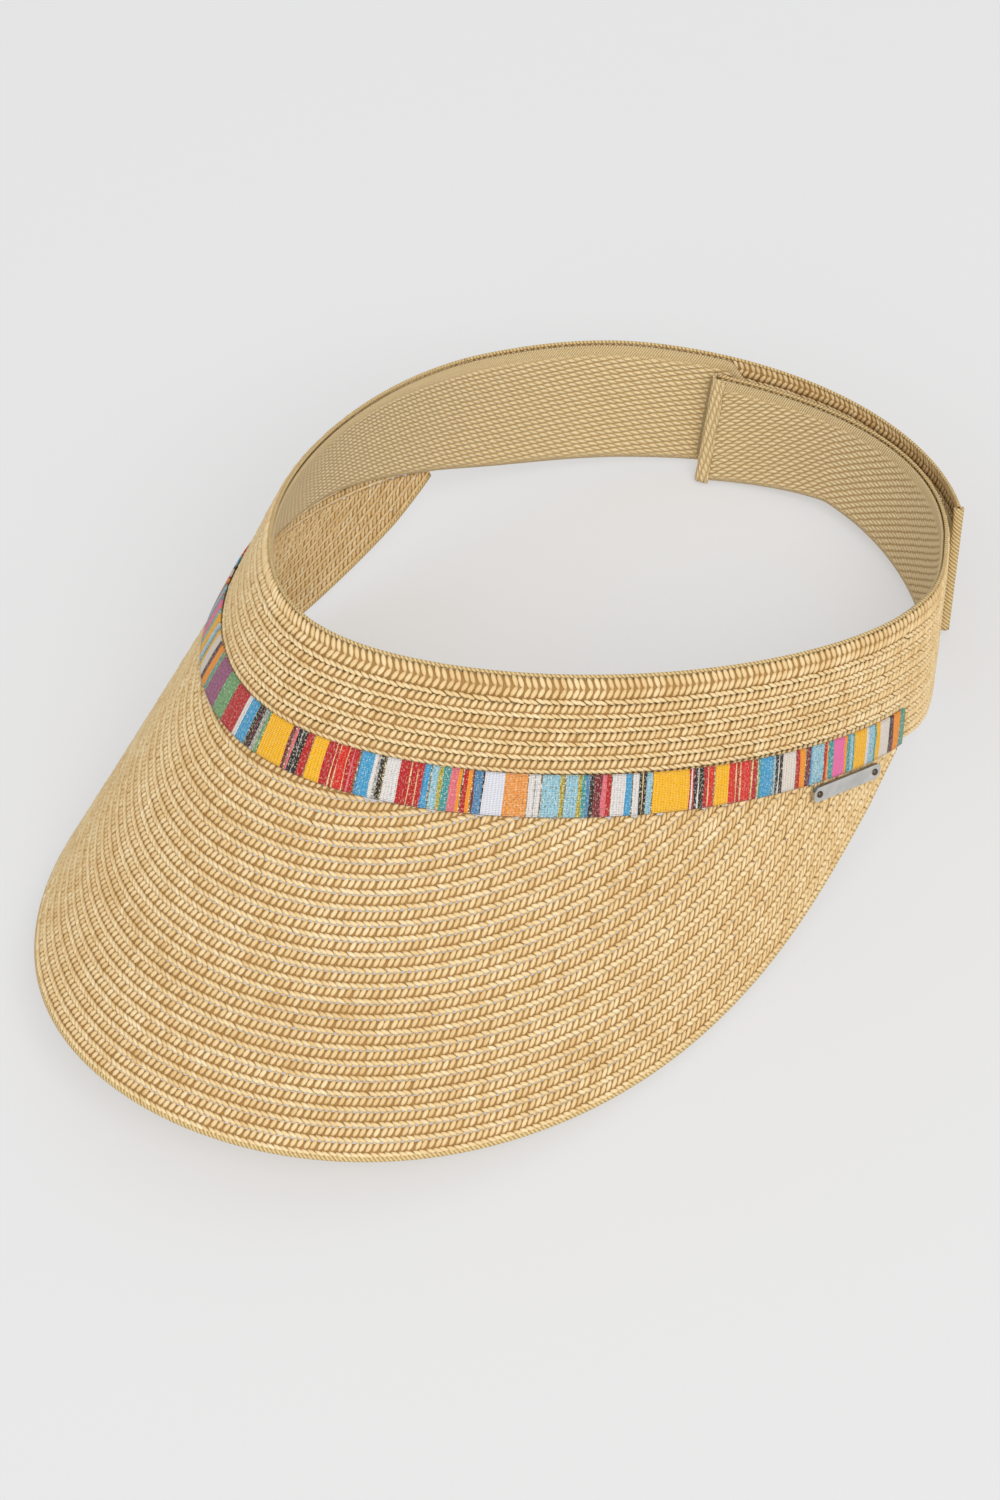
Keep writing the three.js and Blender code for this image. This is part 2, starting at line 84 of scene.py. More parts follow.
# ------------------------------------------------------------------ shape of the visor
@dataclass(frozen=True)
class VisorShape:
    """The surfaces that the soft pieces follow: millimetres, degrees from the front, the ring's frame."""

    ring_radius: float = 82.6
    front_reach: float = 123.2
    front_fullness: float = 1.71
    turn_softness: float = 0.35
    crown_height: float = 32.3
    top_rise: float = 8.9
    top_dip: float = -0.9
    front_flare: float = 0.413
    back_flare: float = 0.103
    flare_settles: float = 120.0
    brim_depth: float = 92.8
    brim_taper: float = 2.26
    brim_end: float = 97.2
    brim_slope: float = 66.0
    brim_droop: float = 35.0
    brim_side_lift: float = -14.0
    brim_side_fan: float = 1.345
    row_pitch: float = 3.87
    strap_bottom: float = 13.3
    strap_belly: float = -4.3
    strap_start: float = 98.2
    inner_end: float = 207.8
    inner_drop: float = 3.8
    tail_start: float = 213.3
    tail_length: float = 74.5
    strap_lift: float = 2.4
    outer_leaves: float = 105.0
    outer_rise: float = 33.0
    inner_leaves: float = 103.0
    inner_rise: float = 24.0
    tilt: float = 24.7093
    stand: tuple[float, float, float] = (0.0, 49.867, 29.870)

    def soft_power(self, value: Array, exponent: Array) -> Array:
        """A power that keeps its sign and stays gently curved through zero."""
        soft = self.turn_softness**2
        return value * ((value * value + soft) / (1 + soft)) ** ((exponent - 1) / 2)

    def ring_point(self, angle: Array) -> Array:
        """The ring's plan at some angles, as an array of x and y."""
        s, c = np.sin(np.radians(angle)), np.cos(np.radians(angle))
        power = np.where(c > 0, 2 / self.front_fullness, 1.0)
        reach = np.where(c > 0, self.front_reach, self.ring_radius)
        return np.stack([self.ring_radius * self.soft_power(s, power),
                         -reach * self.soft_power(c, power)], -1)

    def outward(self, angle: Array) -> Array:
        """Unit vectors in the plan that point away from the head."""
        along = self.ring_point(angle + 0.01) - self.ring_point(angle - 0.01)
        along /= np.linalg.norm(along, axis=-1, keepdims=True)
        return np.stack([along[..., 1], -along[..., 0]], -1)

    def from_front(self, angle: Array) -> Array:
        """How far round each angle is from the front, 0 to 180."""
        return np.abs((angle + 180) % 360 - 180)

    def flare(self, angle: Array) -> Array:
        """Outward slope of the crown wall."""
        turn = np.minimum(self.from_front(angle) * 180 / self.flare_settles, 180)
        share = 0.5 + 0.5 * np.cos(np.radians(turn))
        return self.front_flare * share + self.back_flare * (1 - share)

    def top(self, angle: Array) -> Array:
        """Height of the band's top edge above the brim seam."""
        a = np.radians(angle)
        return (self.crown_height + self.top_rise * (1 - np.cos(a)) / 2
                + self.top_dip * (1 - np.cos(2 * a)) / 2)

    def bottom(self, angle: Array) -> Array:
        """Height of the band's lower edge: the seam at the front, then the strap's edge."""
        k = np.clip((self.from_front(angle) - self.brim_end) / (180 - self.brim_end), 0, 1)
        return (self.strap_bottom * (0.5 - 0.5 * np.cos(np.pi * k))
                + self.strap_belly * np.sin(np.pi * k))

    def on_wall(self, angle: Array, height: Array, out: Array) -> Array:
        """Points on the band's wall, out from the middle of the straw."""
        slope = self.flare(angle)
        lean = np.hypot(1, slope)
        run = (self.crown_height - height) * slope + out / lean
        plan = self.ring_point(angle) + self.outward(angle) * run[..., None]
        return np.concatenate([plan, (height + out * slope / lean)[..., None]], -1)

    def on_brim(self, angle: Array, down: Array, out: Array) -> Array:
        """Points on the brim, down from the seam and out from the middle of the straw."""
        seam = self.on_wall(angle, np.zeros_like(angle), np.zeros_like(angle))
        fan = self.outward(angle) * np.array([self.brim_side_fan, 1.0])
        fan /= np.linalg.norm(fan, axis=-1, keepdims=True)
        a = np.radians(angle)
        slope = np.radians(self.brim_slope + self.brim_droop * (1 - np.cos(a))
                           + self.brim_side_lift * np.sin(a) ** 2)
        run = down * np.cos(slope) + out * np.sin(slope)
        rise = -down * np.sin(slope) + out * np.cos(slope)
        return np.concatenate([seam[..., :2] + fan * run[..., None],
                               (seam[..., 2] + rise)[..., None]], -1)

    def brim_edge(self, angle: Array) -> Array:
        """Depth of the brim at some angles."""
        share = np.minimum(np.abs(angle) / self.brim_end, 1)
        return self.brim_depth * (1 - share**self.brim_taper)

    def brim_lines(self, count: int) -> tuple[Array, list[Array]]:
        """Lines parallel to the brim's edge, one braid pitch apart.

        Args:
            count: how many rows the brim has.

        Returns:
            The angles, and for each line its distance down from the seam at them.
        """
        angles = np.linspace(-self.brim_end, self.brim_end, 361)
        lines = [self.brim_edge(angles)]
        flat = np.zeros_like(angles)
        for _ in range(count):
            down = lines[-1].copy()
            for _ in range(8):
                slant = np.gradient(down, angles)
                along = (self.on_brim(angles + 0.05, down, flat)
                         - self.on_brim(angles - 0.05, down, flat)) / 0.1
                across = (self.on_brim(angles, down + 0.05, flat)
                          - self.on_brim(angles, down - 0.05, flat)) / 0.1
                e, f, g = (along**2).sum(-1), (along * across).sum(-1), (across**2).sum(-1)
                stretch = np.sqrt((e + 2 * f * slant + g * slant**2) / (e * g - f * f))
                down = down - self.row_pitch / 8 * stretch
            lines.append(down)
        return angles, lines

    def outer_lift(self, angle: Array) -> Array:
        """How far the outer strap stands off the ring."""
        return self.strap_lift * ease((-angle - self.outer_leaves) / self.outer_rise)

    def inner_sink(self, angle: Array) -> Array:
        """How far the inner strap lies inside the ring, as a negative distance."""
        return -self.strap_lift * ease((angle - self.inner_leaves) / self.inner_rise)

    def inner_lower(self, angle: Array) -> Array:
        """How much lower the inner strap sits than the outer one."""
        start = self.tail_start - self.tail_length
        return self.inner_drop * ease((angle - start) / (self.inner_end - start))

    def on_table(self, points: Array) -> Array:
        """Turns points in the ring's frame into metres in the row frame."""
        c, s = math.cos(math.radians(self.tilt)), math.sin(math.radians(self.tilt))
        x, y, z = points[..., 0], points[..., 1], points[..., 2]
        turned = np.stack([x, y * c + z * s, z * c - y * s], -1)
        return (turned + np.array(self.stand)) * MM

    def band_run(self, angle: Array) -> Array:
        """Length round the band from the front to each angle, in millimetres."""
        fine = np.linspace(-LAST_ANGLE, LAST_ANGLE, 4 * LAST_ANGLE + 1)
        points = self.on_wall(fine, np.full_like(fine, RUN_HEIGHT), np.zeros_like(fine))
        steps = np.linalg.norm(np.diff(points, axis=0), axis=1)
        run = np.concatenate([[0.0], np.cumsum(steps)])
        return np.interp(angle, fine, run) - run[2 * LAST_ANGLE]


SHAPE = VisorShape()


def steady(value: float) -> Callable[[Array], Array]:
    """A size that is the same at every angle."""
    return lambda angle: np.full_like(angle, value)


@dataclass
class BandPath:
    """A strip that follows the visor: a length along it, a share across it and a distance out of it."""

    start: float
    end: float
    low: Callable[[Array], Array]
    high: Callable[[Array], Array]
    out: Callable[[Array], Array] = steady(0.0)
    brim: bool = False
    angles: Array = field(init=False)
    run: Array = field(init=False)

    def __post_init__(self) -> None:
        """Measures the strip's middle line."""
        self.angles = np.linspace(self.start, self.end, 401)
        middle = (self.low(self.angles) + self.high(self.angles)) / 2
        points = self.surface(self.angles, middle, self.out(self.angles))
        steps = np.linalg.norm(np.diff(points, axis=0), axis=1)
        self.run = np.concatenate([[0.0], np.cumsum(steps)])

    @property
    def length(self) -> float:
        """Length of the strip's middle line in millimetres."""
        return float(self.run[-1])

    @property
    def width(self) -> float:
        """Width at the middle of the strip in millimetres."""
        return self.width_at((self.start + self.end) / 2)

    @property
    def mean_width(self) -> float:
        """Mean width of the strip in millimetres."""
        return float(np.mean(self.high(self.angles) - self.low(self.angles)))

    def width_at(self, angle: float) -> float:
        """Width at an angle in millimetres."""
        at = np.array([angle])
        return float((self.high(at) - self.low(at))[0])

    def surface(self, angle: Array, height: Array, out: Array) -> Array:
        """Points in the ring's frame. On the brim a height is a distance below the seam, negated."""
        if not self.brim:
            return SHAPE.on_wall(angle, height, out)
        seam, squeeze = 0.3, 0.02
        over = np.maximum(height + seam, 0)
        return SHAPE.on_brim(angle, -(np.minimum(height, -seam) + squeeze * over), out)

    def place(self, flat: Array) -> Array:
        """Wraps flat points.

        Args:
            flat: points with a length in millimetres, a share across and a distance out.

        Returns:
            The points in the row frame, in metres.
        """
        angle = np.interp(flat[:, 0], self.run, self.angles)
        beyond = flat[:, 0] - np.clip(flat[:, 0], 0, self.length)
        angle = angle + np.degrees(beyond / SHAPE.ring_radius) * np.sign(self.end - self.start)
        low, high = self.low(angle), self.high(angle)
        height = low + (high - low) * flat[:, 1]
        return SHAPE.on_table(self.surface(angle, height, flat[:, 2] + self.out(angle)))


def linked(name: str, data: bpy.types.ID) -> bpy.types.Object:
    """Makes an object and links it to the scene."""
    made = bpy.data.objects.new(name, data)
    bpy.context.scene.collection.objects.link(made)
    return made


def new_object(name: str, mesh: bpy.types.Mesh) -> bpy.types.Object:
    """Links a mesh to the scene as a smooth-shaded object at the origin."""
    mesh.name = name
    piece = linked(name, mesh)
    mesh.shade_smooth()
    return piece


def add_tube(bm: bmesh.types.BMesh, segments: int, radii: tuple[float, float],
             cuts: int) -> Sequence[bmesh.types.BMVert]:
    """Adds a closed tube of height 1 round the z axis.

    Args:
        bm: what it becomes part of.
        segments: how many sides it has.
        radii: its radius at the foot and at the tip.
        cuts: how many rings it has between its ends.

    Returns:
        Its points.
    """
    before = len(bm.verts)
    made = bmesh.ops.create_cone(bm, cap_ends=True, cap_tris=False, segments=segments,
                                 radius1=radii[0], radius2=radii[1], depth=1.0)["verts"]
    sides = [e for e in {e for v in made for e in v.link_edges}
             if abs(e.verts[0].co.z - e.verts[1].co.z) > 0.5]
    bmesh.ops.subdivide_edges(bm, edges=sides, cuts=cuts)
    bm.verts.ensure_lookup_table()
    return bm.verts[before:]


def add_slab(bm: bmesh.types.BMesh, cells: tuple[int, int], size: tuple[float, float],
             middle: tuple[float, float, float], thick: float) -> None:
    """Adds a thin closed slab, cut into cells along and across."""
    grid = bmesh.ops.create_grid(bm, x_segments=cells[0], y_segments=cells[1], size=0.5)["verts"]
    bmesh.ops.scale(bm, vec=(*size, 1), verts=grid)
    bmesh.ops.translate(bm, vec=middle, verts=grid)
    faces = {f for v in grid for f in v.link_faces}
    bmesh.ops.solidify(bm, geom=list(faces), thickness=thick)


def map_cloth(bm: bmesh.types.BMesh, plan: Callable[[Vector], tuple[float, float]]) -> None:
    """Gives a sheet its own map.

    Args:
        bm: the sheet, before it is wrapped.
        plan: gives a point's millimetres along and across the cloth.
    """
    layer = bm.loops.layers.uv.new("Cloth")
    for face in bm.faces:
        for loop in face.loops:
            along, across = plan(loop.vert.co)
            loop[layer].uv = (along * MM, across * MM)


def baked(bm: bmesh.types.BMesh, name: str) -> bpy.types.Mesh:
    """Turns a finished bmesh into a mesh and frees it."""
    mesh = bpy.data.meshes.new(name)
    bm.to_mesh(mesh)
    bm.free()
    return mesh


def points_of(mesh: bpy.types.Mesh) -> Array:
    """A mesh's points as rows of x, y and z."""
    flat = np.empty(len(mesh.vertices) * 3, np.float32)
    mesh.vertices.foreach_get("co", flat)
    return flat.reshape(-1, 3)


def values_of(mesh: bpy.types.Mesh, name: str) -> Array:
    """One of a mesh's attributes, a number for each point."""
    values = np.empty(len(mesh.vertices), np.float32)
    mesh.attributes[name].data.foreach_get("value", values)
    return values


def repeated(mesh: bpy.types.Mesh, steps: Sequence[tuple[int, tuple]]) -> bpy.types.Mesh:
    """Repeats a mesh with array modifiers, each given as a count and an offset."""
    holder = linked("holder", mesh)
    for count, offset in steps:
        repeat = holder.modifiers.new("repeat", "ARRAY")
        repeat.count = count
        repeat.use_relative_offset = False
        repeat.use_constant_offset = True
        repeat.constant_offset_displace = offset
    shown = holder.evaluated_get(bpy.context.evaluated_depsgraph_get())
    made = bpy.data.meshes.new_from_object(shown)
    bpy.data.objects.remove(holder)
    return made


def thicken(piece: bpy.types.Object, thick: float) -> None:
    """Gives a sheet its thickness in millimetres, half on each side."""
    solid = piece.modifiers.new("thickness", "SOLIDIFY")
    solid.thickness = thick * MM
    solid.offset = 0.0


def wrap(mesh: bpy.types.Mesh, path: BandPath) -> None:
    """Moves a flat mesh's points onto a strip."""
    placed = path.place(points_of(mesh).astype(float))
    mesh.vertices.foreach_set("co", placed.astype(np.float32).ravel())
    mesh.update()


def table_point(angle: float, height: float) -> tuple[float, float, float]:
    """One point in the middle of the wall's straw, in metres in the row frame."""
    one = SHAPE.on_wall(np.array([angle]), np.array([height]), np.zeros(1))
    x, y, z = SHAPE.on_table(one)[0]
    return float(x), float(y), float(z)


def store(mesh: bpy.types.Mesh, name: str, values: Array) -> None:
    """Writes one number for each point of a mesh."""
    attribute = mesh.attributes.get(name) or mesh.attributes.new(name, "FLOAT", "POINT")
    attribute.data.foreach_set("value", values.astype(np.float32))


# ------------------------------------------------------------------ shader building
class Signal:
    """A shader socket that can be used in arithmetic."""

    def __init__(self, graph: "Graph", socket: bpy.types.NodeSocket) -> None:
        """Wraps a socket of a graph."""
        self.graph = graph
        self.socket = socket

    def calc(self, operation: str, *values: Value) -> "Signal":
        """Adds one Math node."""
        made = self.graph.node("ShaderNodeMath", {"operation": operation},
                               {i: v for i, v in enumerate(values)})
        return Signal(self.graph, made.outputs[0])

    def __add__(self, other: Value) -> "Signal":
        """Sum."""
        return self.calc("ADD", self, other)

    __radd__ = __add__

    def __sub__(self, other: Value) -> "Signal":
        """Difference."""
        return self.calc("SUBTRACT", self, other)

    def __rsub__(self, other: Value) -> "Signal":
        """Difference, from the left."""
        return self.calc("SUBTRACT", other, self)

    def __mul__(self, other: Value) -> "Signal":
        """Product."""
        return self.calc("MULTIPLY", self, other)

    __rmul__ = __mul__

    def __truediv__(self, other: Value) -> "Signal":
        """Quotient."""
        return self.calc("DIVIDE", self, other)

    def sine(self) -> "Signal":
        """Sine of the signal."""
        return self.calc("SINE", self)

    def size(self) -> "Signal":
        """The signal without its sign."""
        return self.calc("ABSOLUTE", self)

    def whole(self) -> "Signal":
        """The whole number below the signal."""
        return self.calc("FLOOR", self)

    def between(self, low: float, high: float) -> "Signal":
        """Goes smoothly from 0 at low to 1 at high."""
        made = self.graph.node("ShaderNodeMapRange", {"interpolation_type": "SMOOTHSTEP"},
                               {"Value": self, "From Min": low, "From Max": high})
        return Signal(self.graph, made.outputs[0])


class Graph:
    """Builds one material's nodes."""

    def __init__(self, name: str) -> None:
        """Starts a material with a principled shader."""
        self.material = bpy.data.materials.new(name)
        self.material.use_nodes = True
        self.tree = self.material.node_tree
        self.shader = self.tree.nodes["Principled BSDF"]

    def node(self, kind: str, settings: Optional[dict] = None,
             values: Optional[dict] = None) -> bpy.types.Node:
        """Adds a node.

        Args:
            kind: the node's type.
            settings: its properties, set before its sockets.
            values: numbers, colours or signals for its sockets, by name or place.

        Returns:
            The node.
        """
        made = self.tree.nodes.new(kind)
        for key, value in (settings or {}).items():
            if key == "stops":
                ramp = made.color_ramp
                while len(ramp.elements) < len(value):
                    ramp.elements.new(1.0)
                for element, (place, colour) in zip(ramp.elements, value):
                    element.position = place
                    element.color = (*colour, 1.0)
            else:
                setattr(made, key, value)
        for key, value in (values or {}).items():
            self.feed(made.inputs[key], value)
        return made

    def feed(self, socket: bpy.types.NodeSocket, value: object) -> None:
        """Links a signal to a socket, or sets the socket's own value."""
        if isinstance(value, Signal):
            self.tree.links.new(value.socket, socket)
        elif isinstance(value, (tuple, list)) and len(value) == 3 and socket.type == "RGBA":
            socket.default_value = (*value, 1.0)
        else:
            socket.default_value = value

    def attribute(self, name: str, output: str = "Fac") -> Signal:
        """Reads one of the mesh's attributes."""
        return Signal(self, self.node("ShaderNodeAttribute", {"attribute_name": name}).outputs[output])

    def noise(self, scale: float, detail: float = 2.0, vector: Optional[Signal] = None) -> Signal:
        """Noise on the given vector, or on the object's own coordinates."""
        place = vector or Signal(self, self.node("ShaderNodeTexCoord").outputs["Object"])
        made = self.node("ShaderNodeTexNoise", {"noise_dimensions": "3D"},
                         {"Vector": place, "Scale": scale, "Detail": detail, "Roughness": 0.55})
        return Signal(self, made.outputs["Fac"])

    def vector(self, x: Value, y: Value, z: Value = 0.0) -> Signal:
        """Joins three numbers into a vector."""
        made = self.node("ShaderNodeCombineXYZ", None, {0: x, 1: y, 2: z})
        return Signal(self, made.outputs[0])

    def plan(self) -> tuple[Signal, Signal]:
        """The cloth's own map, in millimetres along and across."""
        uv = self.node("ShaderNodeUVMap", {"uv_map": "Cloth"})
        split = self.node("ShaderNodeSeparateXYZ", None, {0: Signal(self, uv.outputs[0])})
        return Signal(self, split.outputs[0]) * 1000, Signal(self, split.outputs[1]) * 1000

    def ramp(self, value: Value, stops: Sequence[tuple[float, tuple[float, float, float]]]) -> Signal:
        """A colour ramp."""
        return Signal(self, self.node("ShaderNodeValToRGB", {"stops": stops}, {0: value}).outputs[0])

    def mix(self, factor: Value, first: object, second: object) -> Signal:
        """Mixes two colours."""
        made = self.node("ShaderNodeMix", {"data_type": "RGBA", "blend_type": "MIX"},
                         {0: factor, 6: first, 7: second})
        return Signal(self, made.outputs[2])

    def bump(self, height: Value, distance: float, strength: float = 1.0) -> None:
        """Feeds the shader's normal with a relief, its depth in metres."""
        made = self.node("ShaderNodeBump", None,
                         {"Strength": strength, "Distance": distance, "Height": height})
        self.feed(self.shader.inputs["Normal"], Signal(self, made.outputs[0]))

    def finish(self, **sockets: object) -> bpy.types.Material:
        """Feeds the principled shader, with underscores for spaces, and gives the material."""
        for key, value in sockets.items():
            self.feed(self.shader.inputs[key.replace("_", " ")], value)
        return self.material


def tint(code: str) -> tuple[float, float, float]:
    """A linear colour from a hexadecimal one."""
    parts = [int(code[i:i + 2], 16) / 255 for i in (0, 2, 4)]
    return tuple(p / 12.92 if p <= 0.04045 else ((p + 0.055) / 1.055) ** 2.4 for p in parts)


@dataclass(frozen=True)
class StrawFinish:
    """Paper straw: each strand has its own tone and fine fibres, with painted shade on its flanks and tucked
    ends and on the row's core.
    """

    name: str = "braided_straw"
    crevice_shade: str = "A27A42"
    tones: tuple[str, ...] = ("C29A5E", "D4B077", "E2C48F", "EDD6A8", "F5E4C3")
    roughness: float = 0.62

    def make(self) -> bpy.types.Material:
        """Builds the material."""
        g = Graph(self.name)
        tone, lift = g.attribute("tone"), g.attribute("lift")
        along, across = g.attribute("along"), g.attribute("across")
        fibre = g.noise(1.0, 2.0, g.vector(across * 7.0 + tone * 40.0, along * 0.9, tone * 13.0))
        patch = g.noise(55.0, 2.0)
        stops = [(i / (len(self.tones) - 1), tint(c)) for i, c in enumerate(self.tones)]
        colour = g.ramp(tone * 0.7 + fibre * 0.34 + patch * 0.22 - 0.1, stops)
        # Painted shade: each strand darkens towards the dark crevice colour on its flanks (lift near 0) and
        # at its ends, where it tucks under; the core (lift -1) takes that colour whole.
        ends = along.size().between(0.72, 1.05)
        shade = lift.between(-0.4, 0.6) * (1 - ends * 0.35)
        colour = g.mix(shade, tint(self.crevice_shade), colour)
        g.bump(fibre * 0.6 + g.noise(900.0, 3.0) * 0.4, 0.00012, 0.6)
        return g.finish(Base_Color=colour, Roughness=fibre * 0.2 + (self.roughness - 0.1),
                        Specular_IOR_Level=0.35)


@dataclass(frozen=True)
class TwillFinish:
    """Woven tape: rope-like diagonal ridges between a ribbed selvedge and a narrow hem."""

    name: str = "twill_tape"
    dark: str = "B08D58"
    mid: str = "E0C48F"
    light: str = "F2DDAF"
    edge: str = "E2CB9C"
    ridge: float = 1.7
    slant: float = -9.0

    def make(self) -> bpy.types.Material:
        """Builds the material."""
        g = Graph(self.name)
        x, y = g.plan()
        cos, sin = math.cos(math.radians(self.slant)), math.sin(math.radians(self.slant))
        wobble = g.noise(0.4, 2.0, g.vector(x, y))
        across = y * cos - x * sin + wobble * 0.9
        along = x * cos + y * sin
        rib = (across * (math.pi / self.ridge)).sine().size()
        row = (across / self.ridge).whole()
        strand = ((along - across * 1.1 + row * 0.9) * (math.pi / 2.1)).sine().size()
        cloth = rib * 0.16 + strand * 0.78 * rib + g.noise(2.6, 3.0, g.vector(x, y)) * 0.24
        top, low = g.attribute("selvedge"), g.attribute("hem")
        stitches = ((x + y * 0.5) * (math.pi / 0.8)).sine().size() * 0.5
        stitches = stitches + g.noise(1.8, 2.0, g.vector(x, y)) * 0.3
        edge = top.calc("MAXIMUM", top, low)
        relief = cloth * (1 - edge) + stitches * edge
        # The colour follows the same relief as the bump: the weave's own pattern, with painted shade in its
        # grooves; the selvedge stitches below likewise.
        colour = g.ramp(cloth, [(0.12, tint(self.dark)), (0.5, tint(self.mid)), (0.92, tint(self.light))])
        rim = g.ramp(stitches + g.noise(1.3, 2.0, g.vector(x, y)) * 0.2,
                     [(0.15, tint(self.dark)), (0.5, tint(self.mid)), (0.9, tint(self.edge))])
        colour = g.mix(edge, colour, rim)
        g.bump(relief, 0.0007, 0.9)
        return g.finish(Base_Color=colour, Roughness=0.85, Sheen_Weight=0.15, Sheen_Roughness=0.5,
                        Specular_IOR_Level=0.2)


@dataclass(frozen=True)
class RibbonFinish:
    """Striped cloth with weft ribs, thread grain and metallic threads, with painted shade in its grooves and
    painted glints on the metal threads.
    """

    name: str = "striped_ribbon_cloth"

    def make(self) -> bpy.types.Material:
        """Builds the material."""
        g = Graph(self.name)
        x, y = g.plan()
        colour = g.attribute("Dye", "Color")
        lurex = g.attribute("Dye", "Alpha")
        grain = g.noise(1.0, 3.0, g.vector(x * 5.0, y * 0.8))
        weft = (y * (math.pi / 0.42)).sine().size()
        fleck = g.noise(1.0, 1.0, g.vector(x * 3.4, y * 1.3)).between(0.5, 0.58)
        warp = g.noise(1.0, 2.0, g.vector(x * 2.4, y * 0.12)).between(0.4, 0.75)
        colour = g.mix(warp * 0.03, colour, tint("FFFFFF"))
        bundle = (x * (math.pi / 0.8)).sine().size() * 0.5 + grain * 0.5
        # Painted shade: darker towards dark brown in the grooves between the weft ribs and between the warp
        # bundles, the same heights as the bump.
        colour = g.mix((1 - weft) * 0.14 + (0.62 - bundle) * 0.3, colour, tint("33241E"))
        # The metallic threads are real; their flecks of near-white and dark brown are painted glints and
        # painted reflections.
        thread = g.mix(g.noise(1.6, 1.0, g.vector(x, y)).between(0.45, 0.55), tint("FBF3D6"), tint("4A3A22"))
        spark = fleck * lurex
        colour = g.mix(spark, colour, thread)
        g.bump(weft * 0.35 + bundle * 0.65, 0.0004, 0.9)
        return g.finish(Base_Color=colour, Roughness=0.72 - spark * 0.35, Metallic=spark * 0.5,
                        Specular_IOR_Level=0.3, Sheen_Weight=0.1)


@dataclass(frozen=True)
class CordFinish:
    """Pale binding thread wound round the edge."""

    name: str = "edge_binding"
    light: str = "E6CF9C"
    dark: str = "A88450"

    def make(self) -> bpy.types.Material:
        """Builds the material."""
        g = Graph(self.name)
        x, y = g.plan()
        turns = ((x + y * 0.8) * (math.pi / 1.1)).sine().size()
        tone = turns * 0.5 + g.noise(1.1, 2.0, g.vector(x, y)) * 0.5
        # The colour follows the bump's relief: the thread's turns, with painted shade between them.
        colour = g.ramp(tone, [(0.15, tint(self.dark)), (0.55, tint("CFB179")), (0.9, tint(self.light))])
        g.bump(tone, 0.0006, 0.9)
        return g.finish(Base_Color=colour, Roughness=0.7, Specular_IOR_Level=0.3)


@dataclass(frozen=True)
class SteelFinish:
    """Brushed metal with fine scratches and darker patches."""

    name: str
    colour: str
    roughness: float

    def make(self) -> bpy.types.Material:
        """Builds the material."""
        g = Graph(self.name)
        place = Signal(g, g.node("ShaderNodeTexCoord").outputs["Object"])
        stretched = g.node("ShaderNodeVectorMath", {"operation": "MULTIPLY"},
                           {0: place, 1: (2600.0, 180.0, 500.0)})
        brushed = g.noise(1.0, 3.0, Signal(g, stretched.outputs[0]))
        cloud = g.noise(240.0, 3.0)
        colour = g.ramp(cloud * 0.6 + brushed * 0.4,
                        [(0.25, tuple(c * 0.62 for c in tint(self.colour))), (0.7, tint(self.colour))])
        g.bump(brushed, 0.00002, 0.5)
        return g.finish(Base_Color=colour, Metallic=1.0,
                        Roughness=brushed * 0.18 + cloud * 0.1 + (self.roughness - 0.12))


@dataclass(frozen=True)
class PileFinish:
    """Plastic hooks or brushed loops on their woven ground."""

    name: str
    ground: str
    tip: str
    roughness: float

    def make(self) -> bpy.types.Material:
        """Builds the material."""
        g = Graph(self.name)
        lift = g.attribute("lift")
        speck = g.noise(1400.0, 3.0)
        # Each hook or loop goes from the ground's colour at its foot to the paler tip colour: painted shade
        # towards the feet, down among the pile.
        colour = g.mix(lift.between(-0.2, 0.8), tint(self.ground), tint(self.tip))
        colour = g.mix(speck * 0.35, colour, tint(self.ground))
        g.bump(speck, 0.0001, 0.5)
        return g.finish(Base_Color=colour, Roughness=self.roughness)


@dataclass(frozen=True)
class FloorFinish:
    """Pale matt studio floor."""

    name: str = "studio_floor"
    colour: tuple[float, float, float] = (0.36, 0.36, 0.362)
    glow: float = 0.42

    def make(self) -> bpy.types.Material:
        """Builds the material."""
        g = Graph(self.name)
        cloud = g.noise(3.0, 1.0)
        pale = tuple(c * 1.015 for c in self.colour)
        return g.finish(Base_Color=g.mix(cloud, self.colour, pale), Roughness=0.95,
                        Specular_IOR_Level=0.1, Emission_Color=(1.0, 1.0, 1.0),
                        Emission_Strength=self.glow)


# ------------------------------------------------------------------ braid
@dataclass(frozen=True)
class Strand:
    """One strand of a stitch, flat: from and to are millimetres along and a share across the row."""

    start: tuple[float, float, float]
    end: tuple[float, float, float]
    width: float
    thick: float
    shade: float = 0.0
    pinch: float = 0.5
    bow: float = 0.16

    def add(self, bm: bmesh.types.BMesh, row_width: float) -> None:
        """Adds the strand as a closed tapered tube.

        Args:
            bm: the stitch that it becomes part of.
            row_width: the row's width in millimetres, which shares are of.
        """
        tip = Vector((self.end[0], self.end[1] * row_width, self.end[2]))
        foot = Vector((self.start[0], self.start[1] * row_width, self.start[2]))
        axis = tip - foot
        verts = add_tube(bm, 6, (0.5, 0.5), 2)
        ahead = axis.normalized()
        side = ahead.cross(Vector((0, 0, 1))).normalized()
        up = side.cross(ahead)
        tone, lift = bm.verts.layers.float["tone"], bm.verts.layers.float["lift"]
        along, across = bm.verts.layers.float["along"], bm.verts.layers.float["across"]
        for v in verts:
            t = v.co.z * 2
            taper = 1 - self.pinch * abs(t) ** 3
            # lift runs across the strand's thickness; made unsigned in row(), it sets the straw's painted
            # shade, darkest on the flanks.
            v[along], v[across], v[lift], v[tone] = t, v.co.x * 2, v.co.y * 2 * taper, self.shade
            bow = self.bow * (1 - t * t)
            v.co = (foot + axis * (0.5 + v.co.z) + side * (v.co.x * self.width * taper)
                    + up * (v.co.y * self.thick * taper + bow))


